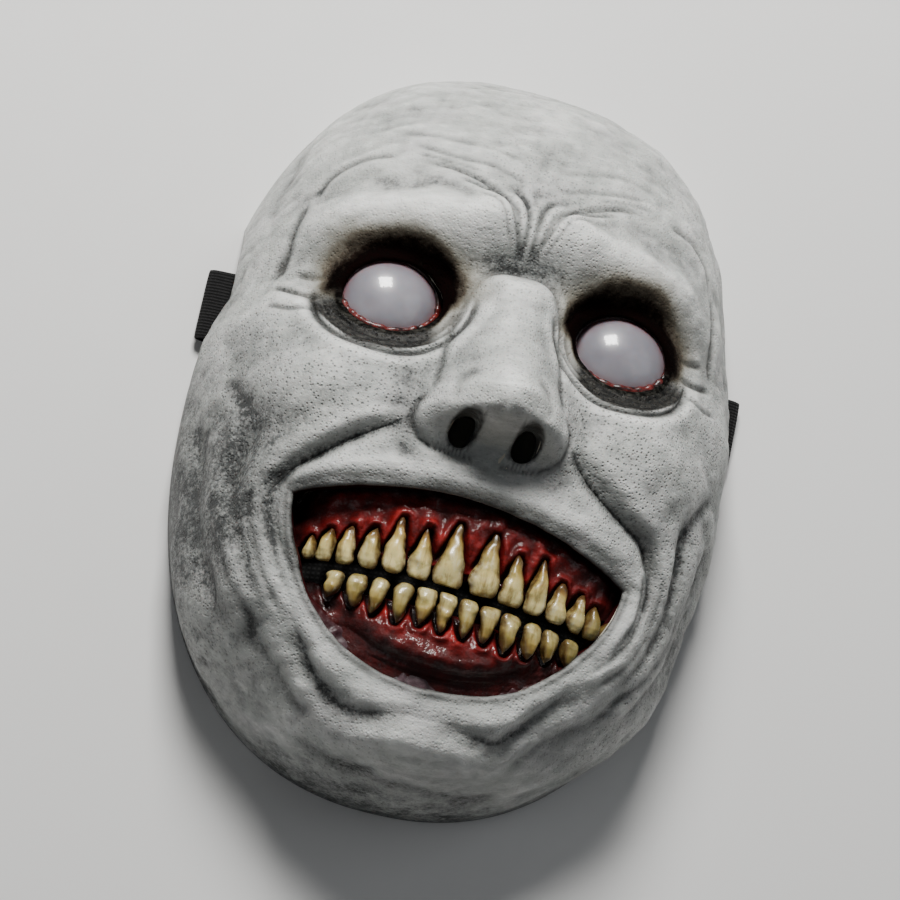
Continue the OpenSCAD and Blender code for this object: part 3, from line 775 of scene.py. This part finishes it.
def border_rows(points, n, back, kind):
    """Rows of points that carry a border on: over the rim's cut, round a lip or lid, or down a nostril."""
    if kind == "rim":
        return [points - n * SKIN * k / 2 for k in (1, 2)]
    if kind == "nostril":
        middle = points.mean(0)
        return [points + (middle - points) * inward * [1, 1, 0] - np.array([0, 0, down])
                for inward, down in ((0.04, 1.5), (0.1, 4.5), (0.14, 9.5))]
    radius, angles = (1.4, [40, 80, 120, 160, 180]) if kind == "mouth" else (0.9, [45, 90, 135, 180])
    return [points - back * radius * sin(a) - n * radius * (1 - cos(a)) for a in np.radians(angles)]


def border_shade(key, kind, k, level):
    """A paint's strength on row k of a border, from its strength on the border itself."""
    # the nostrils' walls and the lips' turned-in edge are painted dark as their shade
    if (key, kind) == ("wash_and_shade", "nostril"):
        return np.ones(len(level))
    if (key, kind) == ("wash_and_shade", "mouth"):
        return np.full(len(level), (0.6, 0.9, 1, 1, 1)[k])
    return np.maximum(level, 0.75) if (key, kind) == ("socket", "eye") else level


def build_skin():
    """The painted skin with its edges, and its raw lining; returns the last row of the mouth's edge."""
    spacing = 0.0059
    points, faces, wash_and_shade, rings = cut_face(spacing)
    normals = vertex_normals(points, faces)
    dark = skin_shades(points, faces, normals, wash_and_shade)
    shades = {key: [level] for key, level in dark.items()}
    all_points, all_faces = [points], [tuple(f) for f in faces]
    total = len(points)
    for ring in rings:
        m = len(ring)
        kind = border_kind(m, points[ring].mean(0), spacing)
        rows = border_rows(points[ring], *edge_frame(points, normals, ring), kind)
        if kind == "mouth":
            mouth_end = rows[-1]
        last = list(ring)
        for k, row in enumerate(rows):
            here = list(range(total, total + m))
            total += m
            all_points.append(row)
            all_faces += [(last[j], here[j], here[(j + 1) % m], last[(j + 1) % m]) for j in range(m)]
            last = here
            for key in shades:
                shades[key].append(border_shade(key, kind, k, dark[key][ring]))
    shades = {key: np.concatenate(levels) for key, levels in shades.items()}
    skin = make_mesh("ghoul_skin", to_world(np.vstack(all_points)), all_faces, LATEX, shades)
    # the dark sockets hardly shine
    skin.data.materials.append(SOCKET)
    dull = [int(shades["socket"][list(f)].mean() > 0.4) for f in all_faces]
    skin.data.polygons.foreach_set("material_index", dull)
    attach(skin, "mask")
    inner, inner_faces, _, _ = cut_face(0.02, SKIN, False)
    back = make_mesh("skin_lining", to_world(inner), inner_faces[:, ::-1], RAW)
    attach(back, "mask")
    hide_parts("face_skin")
    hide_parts("face_skin")
    return mouth_end


mouth_end = build_skin()


# ---------- eyes ----------

def turned(profile, sides=96):
    """Points and faces of a (radius, z) profile turned about a line along Z; a radius of 0 is one point."""
    points, rows, faces = [], [], []
    for r, z in profile:
        first, n = len(points), sides if r else 1
        points += [(r * cos(b), r * sin(b), z) for b in around(sides)[:n]]
        rows.append([first + j % n for j in range(sides)])
    for low, high in zip(rows, rows[1:]):
        for j in range(sides):
            k = (j + 1) % sides
            corners = list(dict.fromkeys((low[j], low[k], high[k], high[j])))
            if len(corners) > 2:
                faces.append(corners)
    return np.array(points), faces


def arc(radius, first, last, steps):
    """(radius, z) pairs on a ball about the dome's centre, by angle up from its equator."""
    angles = np.radians(np.linspace(first, last, steps))
    line = [(radius * cos(a), DOME_Z + radius * sin(a)) for a in angles]
    return [(r if r > 1e-6 else 0, z) for r, z in line]


def eye_dome(side, sign):
    """A thin milky dome with a flange behind the lids."""
    profile = [(20.4, 53), (24, 53), (24, 54.5), (21.7, 54.5)]
    profile += arc(DOME_R, 12, 90, 40) + arc(DOME_R - 1.5, 90, 6, 24)
    points, faces = turned(profile)
    points = points + np.array([sign * EYE[0], EYE[1], 0])
    rim = gauss(eye_frame(*points.T[:2])[0], 2.6)
    ball = make_mesh("milky_dome_" + side, to_world(points), faces, EYEBALL, {"rim": rim})
    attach(ball, "mask")
    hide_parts(side + "_eye_dome")


def lid_margin(side, sign):
    """The wet raw edge between the lids and the dome."""
    steps, sides = 220, 14
    a = around(steps)
    low = smooth((0.25 - np.sin(a)) / 0.6)
    outer = smooth((np.cos(a) + 0.2) / 1.0)
    ring = np.stack([np.cos(a), np.sin(a), 0 * a], 1)
    lumps = waves(ring * 20, 2.6, 31) * 0.2 + waves(ring * 20, 8, 32) * 0.16
    thick = 0.95 + 0.6 * low + 0.3 * outer * low + lumps
    tall = np.where(np.sin(a) > 0, EYE_OVER, EYE_UNDER)
    u, v = (EYE_WIDE - 0.7) * np.cos(a), (tall - 0.4 - 0.5 * low) * np.sin(a)
    x, y = spin(u, v, -EYE_TURN)
    centre = np.stack([x, y, np.sqrt(np.maximum(1, (DOME_R + 0.75) ** 2 - x * x - y * y))], 1)
    out = unit(centre)
    across = unit(np.cross(out, np.roll(centre, -1, 0) - np.roll(centre, 1, 0)))
    rows = []
    for b in around(sides):
        r = thick * (1 + 0.08 * np.sin(3 * b))
        wide, high = 1.15 * r * cos(b), 0.85 * r * sin(b)
        rows.append(centre + wide[:, None] * across + high[:, None] * out)
    points = np.stack(rows, 1).reshape(-1, 3)
    points = points * [sign, 1, 1] + np.array([sign * EYE[0], EYE[1], DOME_Z])
    faces = grid_faces(steps, sides, True)
    end = (steps - 1) * sides
    faces += [(end + j, end + (j + 1) % sides, (j + 1) % sides, j) for j in range(sides)]
    if sign < 0:
        faces = [f[::-1] for f in faces]
    top = np.repeat(1 - low, sides)
    margin = make_mesh("raw_lid_" + side, to_world(points), faces, RED_LID, {"top": top})
    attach(margin, "mask")


for side, sign in (("left", 1), ("right", -1)):
    eye_dome(side, sign)
    lid_margin(side, sign)


# ---------- teeth ----------

# From the middle outward: distance from the middle, width, length, taper, pointedness of the biting edge
UPPER_TEETH = [(6, 11, 21, 1.0, 0.15), (15.4, 8.8, 16.8, 0.8, 0.2), (24, 8.6, 18.6, 0.85, 0.7),
               (31.7, 7.6, 13.6, 0.4, 0.5), (38.8, 7, 12.8, 0.3, 0.3), (45.1, 6.2, 11, 0.2, 0.3),
               (50, 4.4, 8, 0.2, 0.4)]
LOWER_TEETH = [(3.5, 6.8, 12.8, 0.4, 0.0), (10.7, 7.2, 12.2, 0.4, 0.05), (18.2, 7.2, 13.2, 0.5, 0.45),
               (25.5, 7, 12, 0.3, 0.5), (32.6, 6.8, 10.8, 0.2, 0.35), (39.7, 6.6, 9.2, 0.2, 0.3)]


def tooth_share(t, taper, point):
    """A tooth's width at height t from its biting edge, as a share of its full width."""
    blunt = np.interp(t, [0, 0.02, 0.06, 0.13, 0.2], [0.74, 0.86, 0.94, 0.985, 1.0])
    sharp = np.interp(t, [0, 0.03, 0.08, 0.15, 0.2], [0.36, 0.56, 0.8, 0.96, 1.0])
    steps = [0.2, 0.42, 0.68, 0.87, 0.97, 1]
    slim = np.interp(t, steps, [1, 0.8, 0.52, 0.34, 0.2, 0.12])
    full = np.interp(t, steps, [1, 0.95, 0.8, 0.52, 0.28, 0.16])
    return np.where(t < 0.2, sharp * point + blunt * (1 - point), slim * taper + full * (1 - taper))


def on_arch(points, row, arch, sign, upper):
    """Moves points from a tooth's own axes to the arch, a little in front of the gum."""
    front, bend = arch
    x0 = row[0]
    turn = atan(2 * bend * x0)
    x, z = spin(points[:, 0], points[:, 2], -turn)
    y = (points[:, 1] + BITE_GAP) * (1 if upper else -1) + BITE + SMILE * x0 * x0
    z = z + front - bend * x0 * x0 + TOOTH_STANDS
    return crooked(np.stack([(x + x0) * sign, y, z], 1), TEETH_SHIFT)


def build_tooth(name, row, arch, sign, upper, seed):
    """A long, worn tooth: rings of points from its biting edge to its root."""
    rng = np.random.default_rng(seed)
    _, width, length, taper, point = row
    levels, sides = 46, 40
    t = np.concatenate([[0.004], np.linspace(0.012, 0.985, levels - 2), [0.997]])
    half = width * 0.5 * tooth_share(t, taper, np.clip(point + rng.uniform(-0.15, 0.2), 0, 1))
    thick = 3.1 * np.interp(t, [0, 0.04, 0.16, 0.32, 0.6, 0.85, 1], [0.3, 0.52, 0.82, 1, 0.95, 0.66, 0.25])
    lean = rng.uniform(-0.9, 0.9) * (t - 0.25) ** 2 * (t > 0.25) * 2
    skew = rng.uniform(-0.16, 0.16)
    a = around(sides)
    ca, sa = np.cos(a), np.sin(a)
    shape_x = np.sign(ca) * np.abs(ca) ** 0.82
    shape_z = np.sign(sa) * np.abs(sa) ** 0.9
    rows = []
    for k, share in enumerate(t):
        slope = skew * half[k] * shape_x * smooth((0.4 - share) / 0.35)
        rows.append(np.stack([half[k] * shape_x + lean[k], share * length + slope, thick[k] * shape_z], 1))
    points = np.vstack(rows)
    way = unit(points - points.reshape(levels, sides, 3).mean(1).repeat(sides, 0))
    grooves = 0.16 * waves(points * [1, 0.16, 1] + seed, 2.6, seed)
    grooves += 0.22 * waves(points + 9 * seed, 5, seed + 1)
    chips = np.minimum(0, waves(points + 5 * seed, 3, seed + 2) - 0.9) * 0.35
    points += way * (grooves + chips)[:, None] * 0.9
    points[:, 1] = np.clip(points[:, 1], 0.02, length - 0.02)
    along = np.repeat(t, sides)
    border = np.tile(smooth((np.abs(shape_x) - 0.45) / 0.55), levels) * 0.85
    border = np.maximum(border, smooth((along - 0.78) / 0.18))
    border = np.maximum(border, np.tile(smooth((-sa - 0.1) / 0.5), levels))
    # teeth nearer the mouth's corners are painted darker as the corners' shade; lower teeth are darker on the
    # whole, and each tooth's tone varies at random
    far_back = max(0, row[0] - (28 if sign > 0 else 44)) / 20
    tone = min(1.2, rng.uniform(0.0, 0.4) + (0.0 if upper else 0.45) + 0.8 * far_back)
    base = len(points)
    points = np.vstack([points, [[lean[0], 0.0, 0]], [[lean[-1], length - 0.01, 0]]])
    faces = grid_faces(levels, sides, True)
    faces += [(base, (j + 1) % sides, j) for j in range(sides)]
    last = (levels - 1) * sides
    faces += [(base + 1, last + j, last + (j + 1) % sides) for j in range(sides)]
    if (sign > 0) == upper:
        faces = [f[::-1] for f in faces]
    shade = {"along": np.append(along, [0, 1]), "border": np.append(border, [0.2, 1]),
             "tone": np.full(base + 2, tone)}
    piece = make_mesh(name, to_world(on_arch(points, row, arch, sign, upper)), faces, TOOTH, shade)
    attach(piece, "mask")
    return piece


for side, sign in (("left", 1), ("right", -1)):
    for k, row in enumerate(UPPER_TEETH):
        piece = build_tooth(f"fang_upper_{side}_{k + 1}", row, UPPER_ARCH, sign, True, 100 + 10 * k + sign)
        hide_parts(f"upper_tooth_{side}_{k + 1}")
    for k, row in enumerate(LOWER_TEETH):
        piece = build_tooth(f"fang_lower_{side}_{k + 1}", row, LOWER_ARCH, sign, False, 200 + 10 * k + sign)
        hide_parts(f"lower_tooth_{side}_{k + 1}")


# ---------- gums ----------

def skin_height():
    """Looks up the height of the skin's inside over points near the mouth."""
    points, _ = lattice(0.016)
    points = points[np.hypot(points[:, 0], points[:, 1]) < 1]
    inner, _ = face_points(points, SKIN + 0.3, False)
    inner = inner[(np.abs(inner[:, 0]) < 75) & (inner[:, 1] < 5)]
    tree = KDTree(len(inner))
    for k, (x, y, _) in enumerate(inner):
        tree.insert((x, y, 0), k)
    tree.balance()

    def look(x, y):
        out = np.empty(len(x))
        for k in range(len(x)):
            found = tree.find_n((x[k], y[k], 0), 5)
            weight = np.array([1 / (d + 0.3) ** 2 for _, _, d in found])
            out[k] = weight @ inner[[i for _, i, _ in found], 2] / weight.sum()
        return out
    return look


under_skin = skin_height()


def arch_front(arch, x):
    return arch[0] - arch[1] * x * x


def tooth_edge(x, y, teeth, arch, upper):
    """Distance outside the nearest tooth's outline, and that tooth's share of height there."""
    best, at = np.full(len(x), 99.0), np.zeros(len(x))
    for x0, width, length, taper, point in teeth:
        turn = cos(atan(2 * arch[1] * x0))
        t = ((y - BITE - SMILE * x0 * x0) * (1 if upper else -1) - BITE_GAP) / length
        inside = np.clip(t, 0, 1)
        side_gap = (np.abs(np.abs(x) - x0) / turn - width * 0.5 * tooth_share(inside, taper, point)) * 0.95
        end_gap = np.maximum(0, t - 1) * length
        gap = np.where(end_gap > 0, np.hypot(np.maximum(side_gap, 0), end_gap), side_gap)
        near = gap < best
        best[near], at[near] = gap[near], t[near]
    return best, at


def gum_grid(profile, y0, arch, half, columns, rows):
    """A gum plate's front and top as a grid, with the place of each point over the bite line."""
    front, bend = arch
    line = np.array(profile)
    reach = np.append(0, np.cumsum(np.linalg.norm(np.diff(line, axis=0), axis=1)))
    s = np.linspace(0, reach[-1], rows)
    py, pz = np.interp(s, reach, line[:, 0]), np.interp(s, reach, line[:, 1])
    x = half * 0.995 * np.sin(np.linspace(-pi / 2, pi / 2, columns))
    k = np.maximum(0.15, np.maximum(0, 1 - np.abs(x / half) ** 6) ** 0.5)
    px, hy = np.meshgrid(x, y0 + py)
    _, hz = np.meshgrid(x, pz)
    y = BITE + (hy - BITE) * k + SMILE * px ** 2
    z = front - bend * px ** 2 - GUM_BACK + (hz + GUM_BACK) * k
    return np.stack([px.ravel(), y.ravel(), z.ravel()], 1), np.repeat(s / reach[-1], columns)


def lower_lip(x, y):
    """How much of the lower lip's broad inner side shows at a place, from 0 to 1."""
    x, y = straight(x, y, LIPS_SHIFT)
    return smooth((MOUTH_Y - 4 - y) / 26) * smooth((43 - np.abs(x + 3)) / 24)


def build_gum(name, node, profile, y0, arch, half, teeth, upper):
    """A wet gum: collars and pockets round its teeth, and strands between them."""
    columns, rows = 420, 110
    points, share = gum_grid(profile, y0, arch, half, columns, rows)
    x, y = points[:, 0], points[:, 1]
    gap, t = tooth_edge(x, y, teeth, arch, upper)
    held = smooth((t - 0.3) / 0.2)
    uneven = 0.65 + 0.35 * waves(points, 7, 45 + upper)
    collar = gauss(gap - 1.9, 1.1) * held * uneven
    pocket = smooth((1.1 - gap) / 1.1) * held
    strands = waves(points * [1, 0.34, 1], 5.5, 41 + upper)
    lumps = waves(points, 3.2, 43 + upper)
    ends = smooth(share / 0.1) * smooth((1 - share) / 0.1)
    free = gauss(np.maximum(gap - 1, 0), 5)
    rise = 1.2 * collar - 2.0 * pocket + 0.75 * np.abs(strands) * free
    rise = rise + 0.28 * lumps + 0.35 * np.maximum(strands, 0)
    points[:, 2] += rise * ends
    points = crooked(points, TEETH_SHIFT)
    lip = mouth_distance(*points.T[:2])
    roof = under_skin(*points.T[:2])
    # near the lips it dives under the skin, and the lower one makes room for the lip's lining
    points[:, 2] -= smooth((lip + 9) / 4) * np.maximum(0, points[:, 2] - roof)
    # lighter on the raised collars, strands and lumps and darker in the pockets round the teeth: partly the
    # gum's own reds, partly painted highlight and shade
    redness_and_shade = 0.43 + 0.2 * collar - 0.6 * pocket + 0.3 * np.abs(strands) * free + 0.15 * lumps
    if not upper:
        push = 4.4 * smooth((lip + 12) / 6) * lower_lip(*points.T[:2])
        spare = points[:, 2] - (arch_front(arch, x) - 5.5)
        points[:, 2] -= np.minimum(push, np.maximum(0, 0.8 * spare))
    # painted shadow under the upper lip, and painted shade near the lower lip and towards the mouth's corners
    deep = smooth((-0.5 - lip) / 3) if upper else 0.35 + 0.65 * smooth((-9 - lip) / 7)
    corner = smooth((half - 5 - np.abs(x)) / np.where(x > 0, 30, 12))
    redness_and_shade = np.clip(redness_and_shade * deep * (0.3 + 0.7 * corner), 0, 1)
    faces = [f[::-1] for f in grid_faces(rows, columns)]
    piece = make_mesh(name, to_world(points), faces, GUM, {"redness_and_shade": redness_and_shade})
    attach(piece, "mask")
    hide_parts(node)


# Section of each gum: height from its far edge, and depth behind the front of its arch
UPPER_PROFILE = [(0, -GUM_BACK), (-1, -2.5), (-5, -0.3), (-14, 0.4), (-21, -0.6), (-26, -2.4), (-30, -4.6),
                 (-31.5, -GUM_BACK)]
LOWER_PROFILE = [(30, -GUM_BACK), (28.5, -4.8), (25, -3), (20, -1), (13, 0), (6, -0.8), (1, -4),
                 (0, -GUM_BACK)]
build_gum("upper_flesh", "upper_gum", UPPER_PROFILE, GUM_TOP, UPPER_ARCH, 61, UPPER_TEETH, True)
build_gum("lower_flesh", "lower_gum", LOWER_PROFILE, GUM_BOTTOM, LOWER_ARCH, 52, LOWER_TEETH, False)


def mouth_lining(start):
    """The inside of the lips, from their edge down to the gums."""
    broad = lower_lip(*start.T[:2])
    x, y = straight(start[:, 0], start[:, 1], LIPS_SHIFT)
    start = np.stack([x, y, start[:, 2]], 1)
    low = smooth((MOUTH_Y - 4 - y) / 26)
    inward = 0.8 + 1.6 * smooth((MOUTH_Y + 2 - y) / 10) + 7.5 * broad
    t = np.roll(start, -3, 0) - np.roll(start, 3, 0)
    way = unit(np.stack([t[:, 1], -t[:, 0]], 1))
    way *= np.sign(((np.array([0, -58]) - start[:, :2]) * way).sum(1))[:, None]
    for _ in range(20):
        way = unit(way + np.roll(way, 1, 0) + np.roll(way, -1, 0))
    over = y > MOUTH_Y - 12
    base = np.where(over, arch_front(UPPER_ARCH, x), arch_front(LOWER_ARCH, x)) + (1.6 * broad - 1.5)
    rows, furrow, count = [], [], 20
    ring = np.cumsum(np.linalg.norm(np.roll(start, -1, 0) - start, axis=1))
    for k in range(count):
        f = k / (count - 1)
        out = start.copy()
        out[:, :2] += way * (inward * (f ** 0.8))[:, None]
        end = np.minimum(base, start[:, 2] - 2)
        out[:, 2] += (end - start[:, 2]) * f ** (1 + 0.9 * low)
        pucker = waves(np.stack([ring, 0 * ring + 3 * f, 0 * ring], 1), 1.8, 51)
        out[:, 2] += 0.35 * pucker * sin(pi * min(1, f * 1.1)) * low
        # the lining's furrows are painted darker as their shade
        furrow.append(smooth(-0.2 - pucker))
        rows.append(out)
    points = crooked(np.vstack(rows), LIPS_SHIFT)
    faces = grid_faces(count, len(start), True)
    # dark red deeper in and away from the lower lip's broad side: partly the flesh's colour, partly painted
    # shade
    deep = np.repeat(smooth((np.linspace(0, 1, count) - 0.62) / 0.38), len(start))
    deep += np.tile(1 - broad, count)
    shade = {"deep": np.clip(deep, 0, 1), "furrow": 0.8 * np.concatenate(furrow)}
    piece = make_mesh("lip_lining", to_world(points), faces, LINING, shade)
    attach(piece, "mask")


mouth_lining(mouth_end)


# ---------- backing and strap ----------

def close_grid(front, back, rows, columns):
    """Points and faces of a panel between two grids of points, closed round its border."""
    faces = grid_faces(rows, columns)
    n = rows * columns
    faces += [tuple(k + n for k in f[::-1]) for f in faces]
    grid = np.arange(n).reshape(rows, columns).tolist()
    ring = grid[0] + [row[-1] for row in grid[1:]] + grid[-1][-2::-1] + [row[0] for row in grid[-2:0:-1]]
    faces += [(b, a, a + n, b + n) for a, b in zip(ring, ring[1:] + ring[:1])]
    return np.vstack([front, back]), faces


def fabric_backing():
    """The black cloth that closes the mouth behind the gums."""
    rows, columns, half = 60, 110, 60
    x = half * 0.99 * np.sin(np.linspace(-pi / 2, pi / 2, columns))
    bottom = BITE - 8 - 30 * np.maximum(0, 1 - (x / half) ** 2) ** 0.6
    f = np.linspace(0, 1, rows)[:, None]
    y = (GUM_TOP * (1 - f) + bottom * f).ravel()
    x = np.tile(x, rows)
    z = np.minimum(arch_front(UPPER_ARCH, x), arch_front(LOWER_ARCH, x)) - GUM_BACK - 0.25
    front = np.stack([x, y, z], 1)
    front[:, 2] -= 0.35 * (1 + waves(front, 9, 61)).clip(0, 2)
    front = crooked(front, TEETH_SHIFT)
    front[:, 2] = np.minimum(front[:, 2], under_skin(*front.T[:2]))
    points, faces = close_grid(front, front - [0, 0, 1.0], rows, columns)
    panel = make_mesh("cloth_backing", to_world(points), [g[::-1] for g in faces], NET)
    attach(panel, "mask")
    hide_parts("mouth_backing")


# Middle line of the band's left half, from the stud to the flat run: x, z
BAND = [(BAND_X, 24), (BAND_X, 18), (BAND_X, 12), (76.4, 10.2), (78.4, 8.6), (82.7, 7.6), (88.7, 6.9),
        (93.6, 6.2), (95.6, 5), (95.9, 3.9), (95.3, 2.9), (93.6, 2.15), (91, BAND_Z), (85, BAND_Z)]


def evenly(line, step):
    """Points every step along a line, with the same ends."""
    reach = np.append(0, np.cumsum(np.linalg.norm(np.diff(line, axis=0), axis=1)))
    s = np.linspace(0, reach[-1], max(2, round(reach[-1] / step)))
    return np.stack([np.interp(s, reach, line[:, k]) for k in (0, 1)], 1), s


def webbing(name, node, path, ends):
    """Ribbed elastic tape along a path of (x, z); ends holds the radius of each end's round."""
    line, s = evenly(path, 0.3)
    t = unit(np.gradient(line, axis=0))
    up = np.stack([-t[:, 1], t[:, 0]], 1)
    total = s[-1]
    wide = np.full(len(s), BAND_WIDE / 2)
    for near_end, radius in ((s, ends[0]), (total - s, ends[1])):
        if radius:
            k = np.clip(1 - near_end / radius, 0, 0.999)
            wide = np.minimum(wide, BAND_WIDE / 2 - radius + radius * np.sqrt(1 - k * k))
    section = 20
    a = around(section)
    across = np.sign(np.cos(a)) * np.abs(np.cos(a)) ** 0.25
    thick = np.sign(np.sin(a)) * np.abs(np.sin(a)) ** 0.5
    rib = 0.9 + 0.1 * np.cos(s * 2 * pi / 1.2)
    end_fade = np.clip(np.minimum(s, total - s) / 0.5, 0.3, 1)
    half = BAND_THICK / 2 * rib * end_fade
    points = []
    for k in range(len(s)):
        w, h = wide[k] * across, half[k] * thick
        points.append(np.stack([line[k, 0] + up[k, 0] * h, STRAP_Y + w, line[k, 1] + up[k, 1] * h], 1))
    faces = grid_faces(len(s), section, True)
    faces += [tuple(range(section)), tuple(range(len(s) * section - 1, (len(s) - 1) * section - 1, -1))]
    tape = make_mesh(name, np.vstack(points), faces, ELASTIC)
    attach(tape, "strap")
    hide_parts(node)


def stitches(name, rows, z, node):
    """Rows of thread across the tape, one short stitch after another, standing a little out of it."""
    points, faces = [], []
    sides, steps = 8, 7
    f = np.linspace(0, 1, steps)[:, None]
    bow, a = np.sin(pi * f), around(sides)
    r = 0.28 * (0.55 + 0.45 * bow)
    stitch = np.stack([r * np.cos(a), -0.9 + 1.8 * f + 0 * a, 0.32 * bow + r * np.sin(a)], 2).reshape(-1, 3)
    whole = grid_faces(steps, sides, True)
    whole += [tuple(range(sides - 1, -1, -1)), tuple(range((steps - 1) * sides, steps * sides))]
    for x in rows:
        for y in np.arange(-10, 10.1, 2.5):
            faces += [tuple(len(points) * steps * sides + n for n in face) for face in whole]
            points.append(stitch + [x, STRAP_Y + y, z])
    thread = make_mesh(name, np.vstack(points), faces, THREAD)
    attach(thread, "strap")
    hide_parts(node)


def build_strap():
    """The tape from stud to stud, its free end on the flat run, and the thread that holds that end."""
    half = smooth_line(BAND, 10)
    top = np.array([(BAND_X, STUD_Z + 12.5 * k) for k in np.linspace(1, 0, 14)[:-1]])
    half = np.vstack([top, half])
    line = np.vstack([half, [[0, BAND_Z]], half[::-1] * [-1, 1]])
    webbing("elastic_tape", "elastic_strap", line, (12.4, 12.4))
    tail_z = BAND_Z + BAND_THICK + 0.15
    webbing("free_end", "strap_tail", np.array([(-62.0, tail_z), (40.0, tail_z)]), (0.6, 3.0))
    stitches("tail_stitches", (-60, -56, -52), tail_z + BAND_THICK / 2 - 0.1, "strap_tail")


fabric_backing()
build_strap()


# ---------- plain CAD pieces ----------

PLAIN = {"strap_slider": PLASTIC}
for side in ("left", "right"):
    PLAIN[side + "_eye_retainer"] = PLASTIC
    PLAIN[side + "_anchor_block"] = RAW
    PLAIN[side + "_snap_stud"] = BRASS
    PLAIN[side + "_snap_cap"] = PLASTIC
for node, material in PLAIN.items():
    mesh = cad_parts[node].data
    mesh.materials.clear()
    mesh.materials.append(material)


# ---------- floor, camera and light ----------

def camera_axes():
    """The camera's right, up and back directions."""
    az, el, roll = radians(-27.5), radians(74), radians(40.55)
    back = Vector((sin(az) * cos(el), -cos(az) * cos(el), sin(el)))
    right = Vector((0, 0, 1)).cross(back).normalized()
    up = back.cross(right)
    return (cos(roll) * right + sin(roll) * up, -sin(roll) * right + cos(roll) * up, back)


RIGHT, UP, BACK = camera_axes()
TARGET = Vector((-4.62, -7.76, 30)) * MM


def place(thing, location, x_axis, y_axis, z_axis):
    turn = Matrix((x_axis, y_axis, z_axis)).transposed().to_4x4()
    thing.matrix_world = Matrix.Translation(location) @ turn
    bpy.context.scene.collection.objects.link(thing)


lens = bpy.data.cameras.new("camera")
lens.lens, lens.sensor_width, lens.clip_end = 130, 36, 20
camera = bpy.data.objects.new("camera", lens)
place(camera, TARGET + BACK * 1.1, RIGHT, UP, BACK)
bpy.context.scene.camera = camera


def area_light(name, right, up, back, size, power, colour):
    """A square light aimed at the mask, placed in metres along the camera's axes."""
    lamp = bpy.data.lights.new(name, "AREA")
    lamp.size, lamp.energy, lamp.color = size, power, colour
    way = (RIGHT * right + UP * up + BACK * back).normalized()
    side = UP.cross(way).normalized()
    spot = TARGET + RIGHT * right + UP * up + BACK * back
    place(bpy.data.objects.new(name, lamp), spot, side, way.cross(side), way)


area_light("key", 0.1, 0.86, 0.62, 0.34, 19, (1.0, 0.985, 0.96))
area_light("fill", -0.7, -0.1, 0.8, 0.7, 0.8, (0.95, 0.97, 1.0))
area_light("side", 0.8, 0.2, 0.5, 0.6, 0.9, (0.93, 0.96, 1.0))

floor_paint = Paint("pale_floor")
floor_paint.base(floor_paint.noise(3, 3), (0.8, 0.8, 0.79), (0.84, 0.84, 0.83))
floor_mesh = bpy.data.meshes.new("floor")
floor_mesh.from_pydata([(-4, -4, 0), (4, -4, 0), (4, 4, 0), (-4, 4, 0)], [], [(0, 1, 2, 3)])
floor_mesh.materials.append(floor_paint.finish(floor_paint.uneven(60, 4, 0.7, 0.9), None))
floor = bpy.data.objects.new("floor", floor_mesh)
bpy.context.scene.collection.objects.link(floor)

sky = bpy.data.worlds.new("studio")
sky.use_nodes = True
sky.node_tree.nodes["Background"].inputs["Color"].default_value = (0.9, 0.92, 0.95, 1)
sky.node_tree.nodes["Background"].inputs["Strength"].default_value = 0.07
bpy.context.scene.world = sky
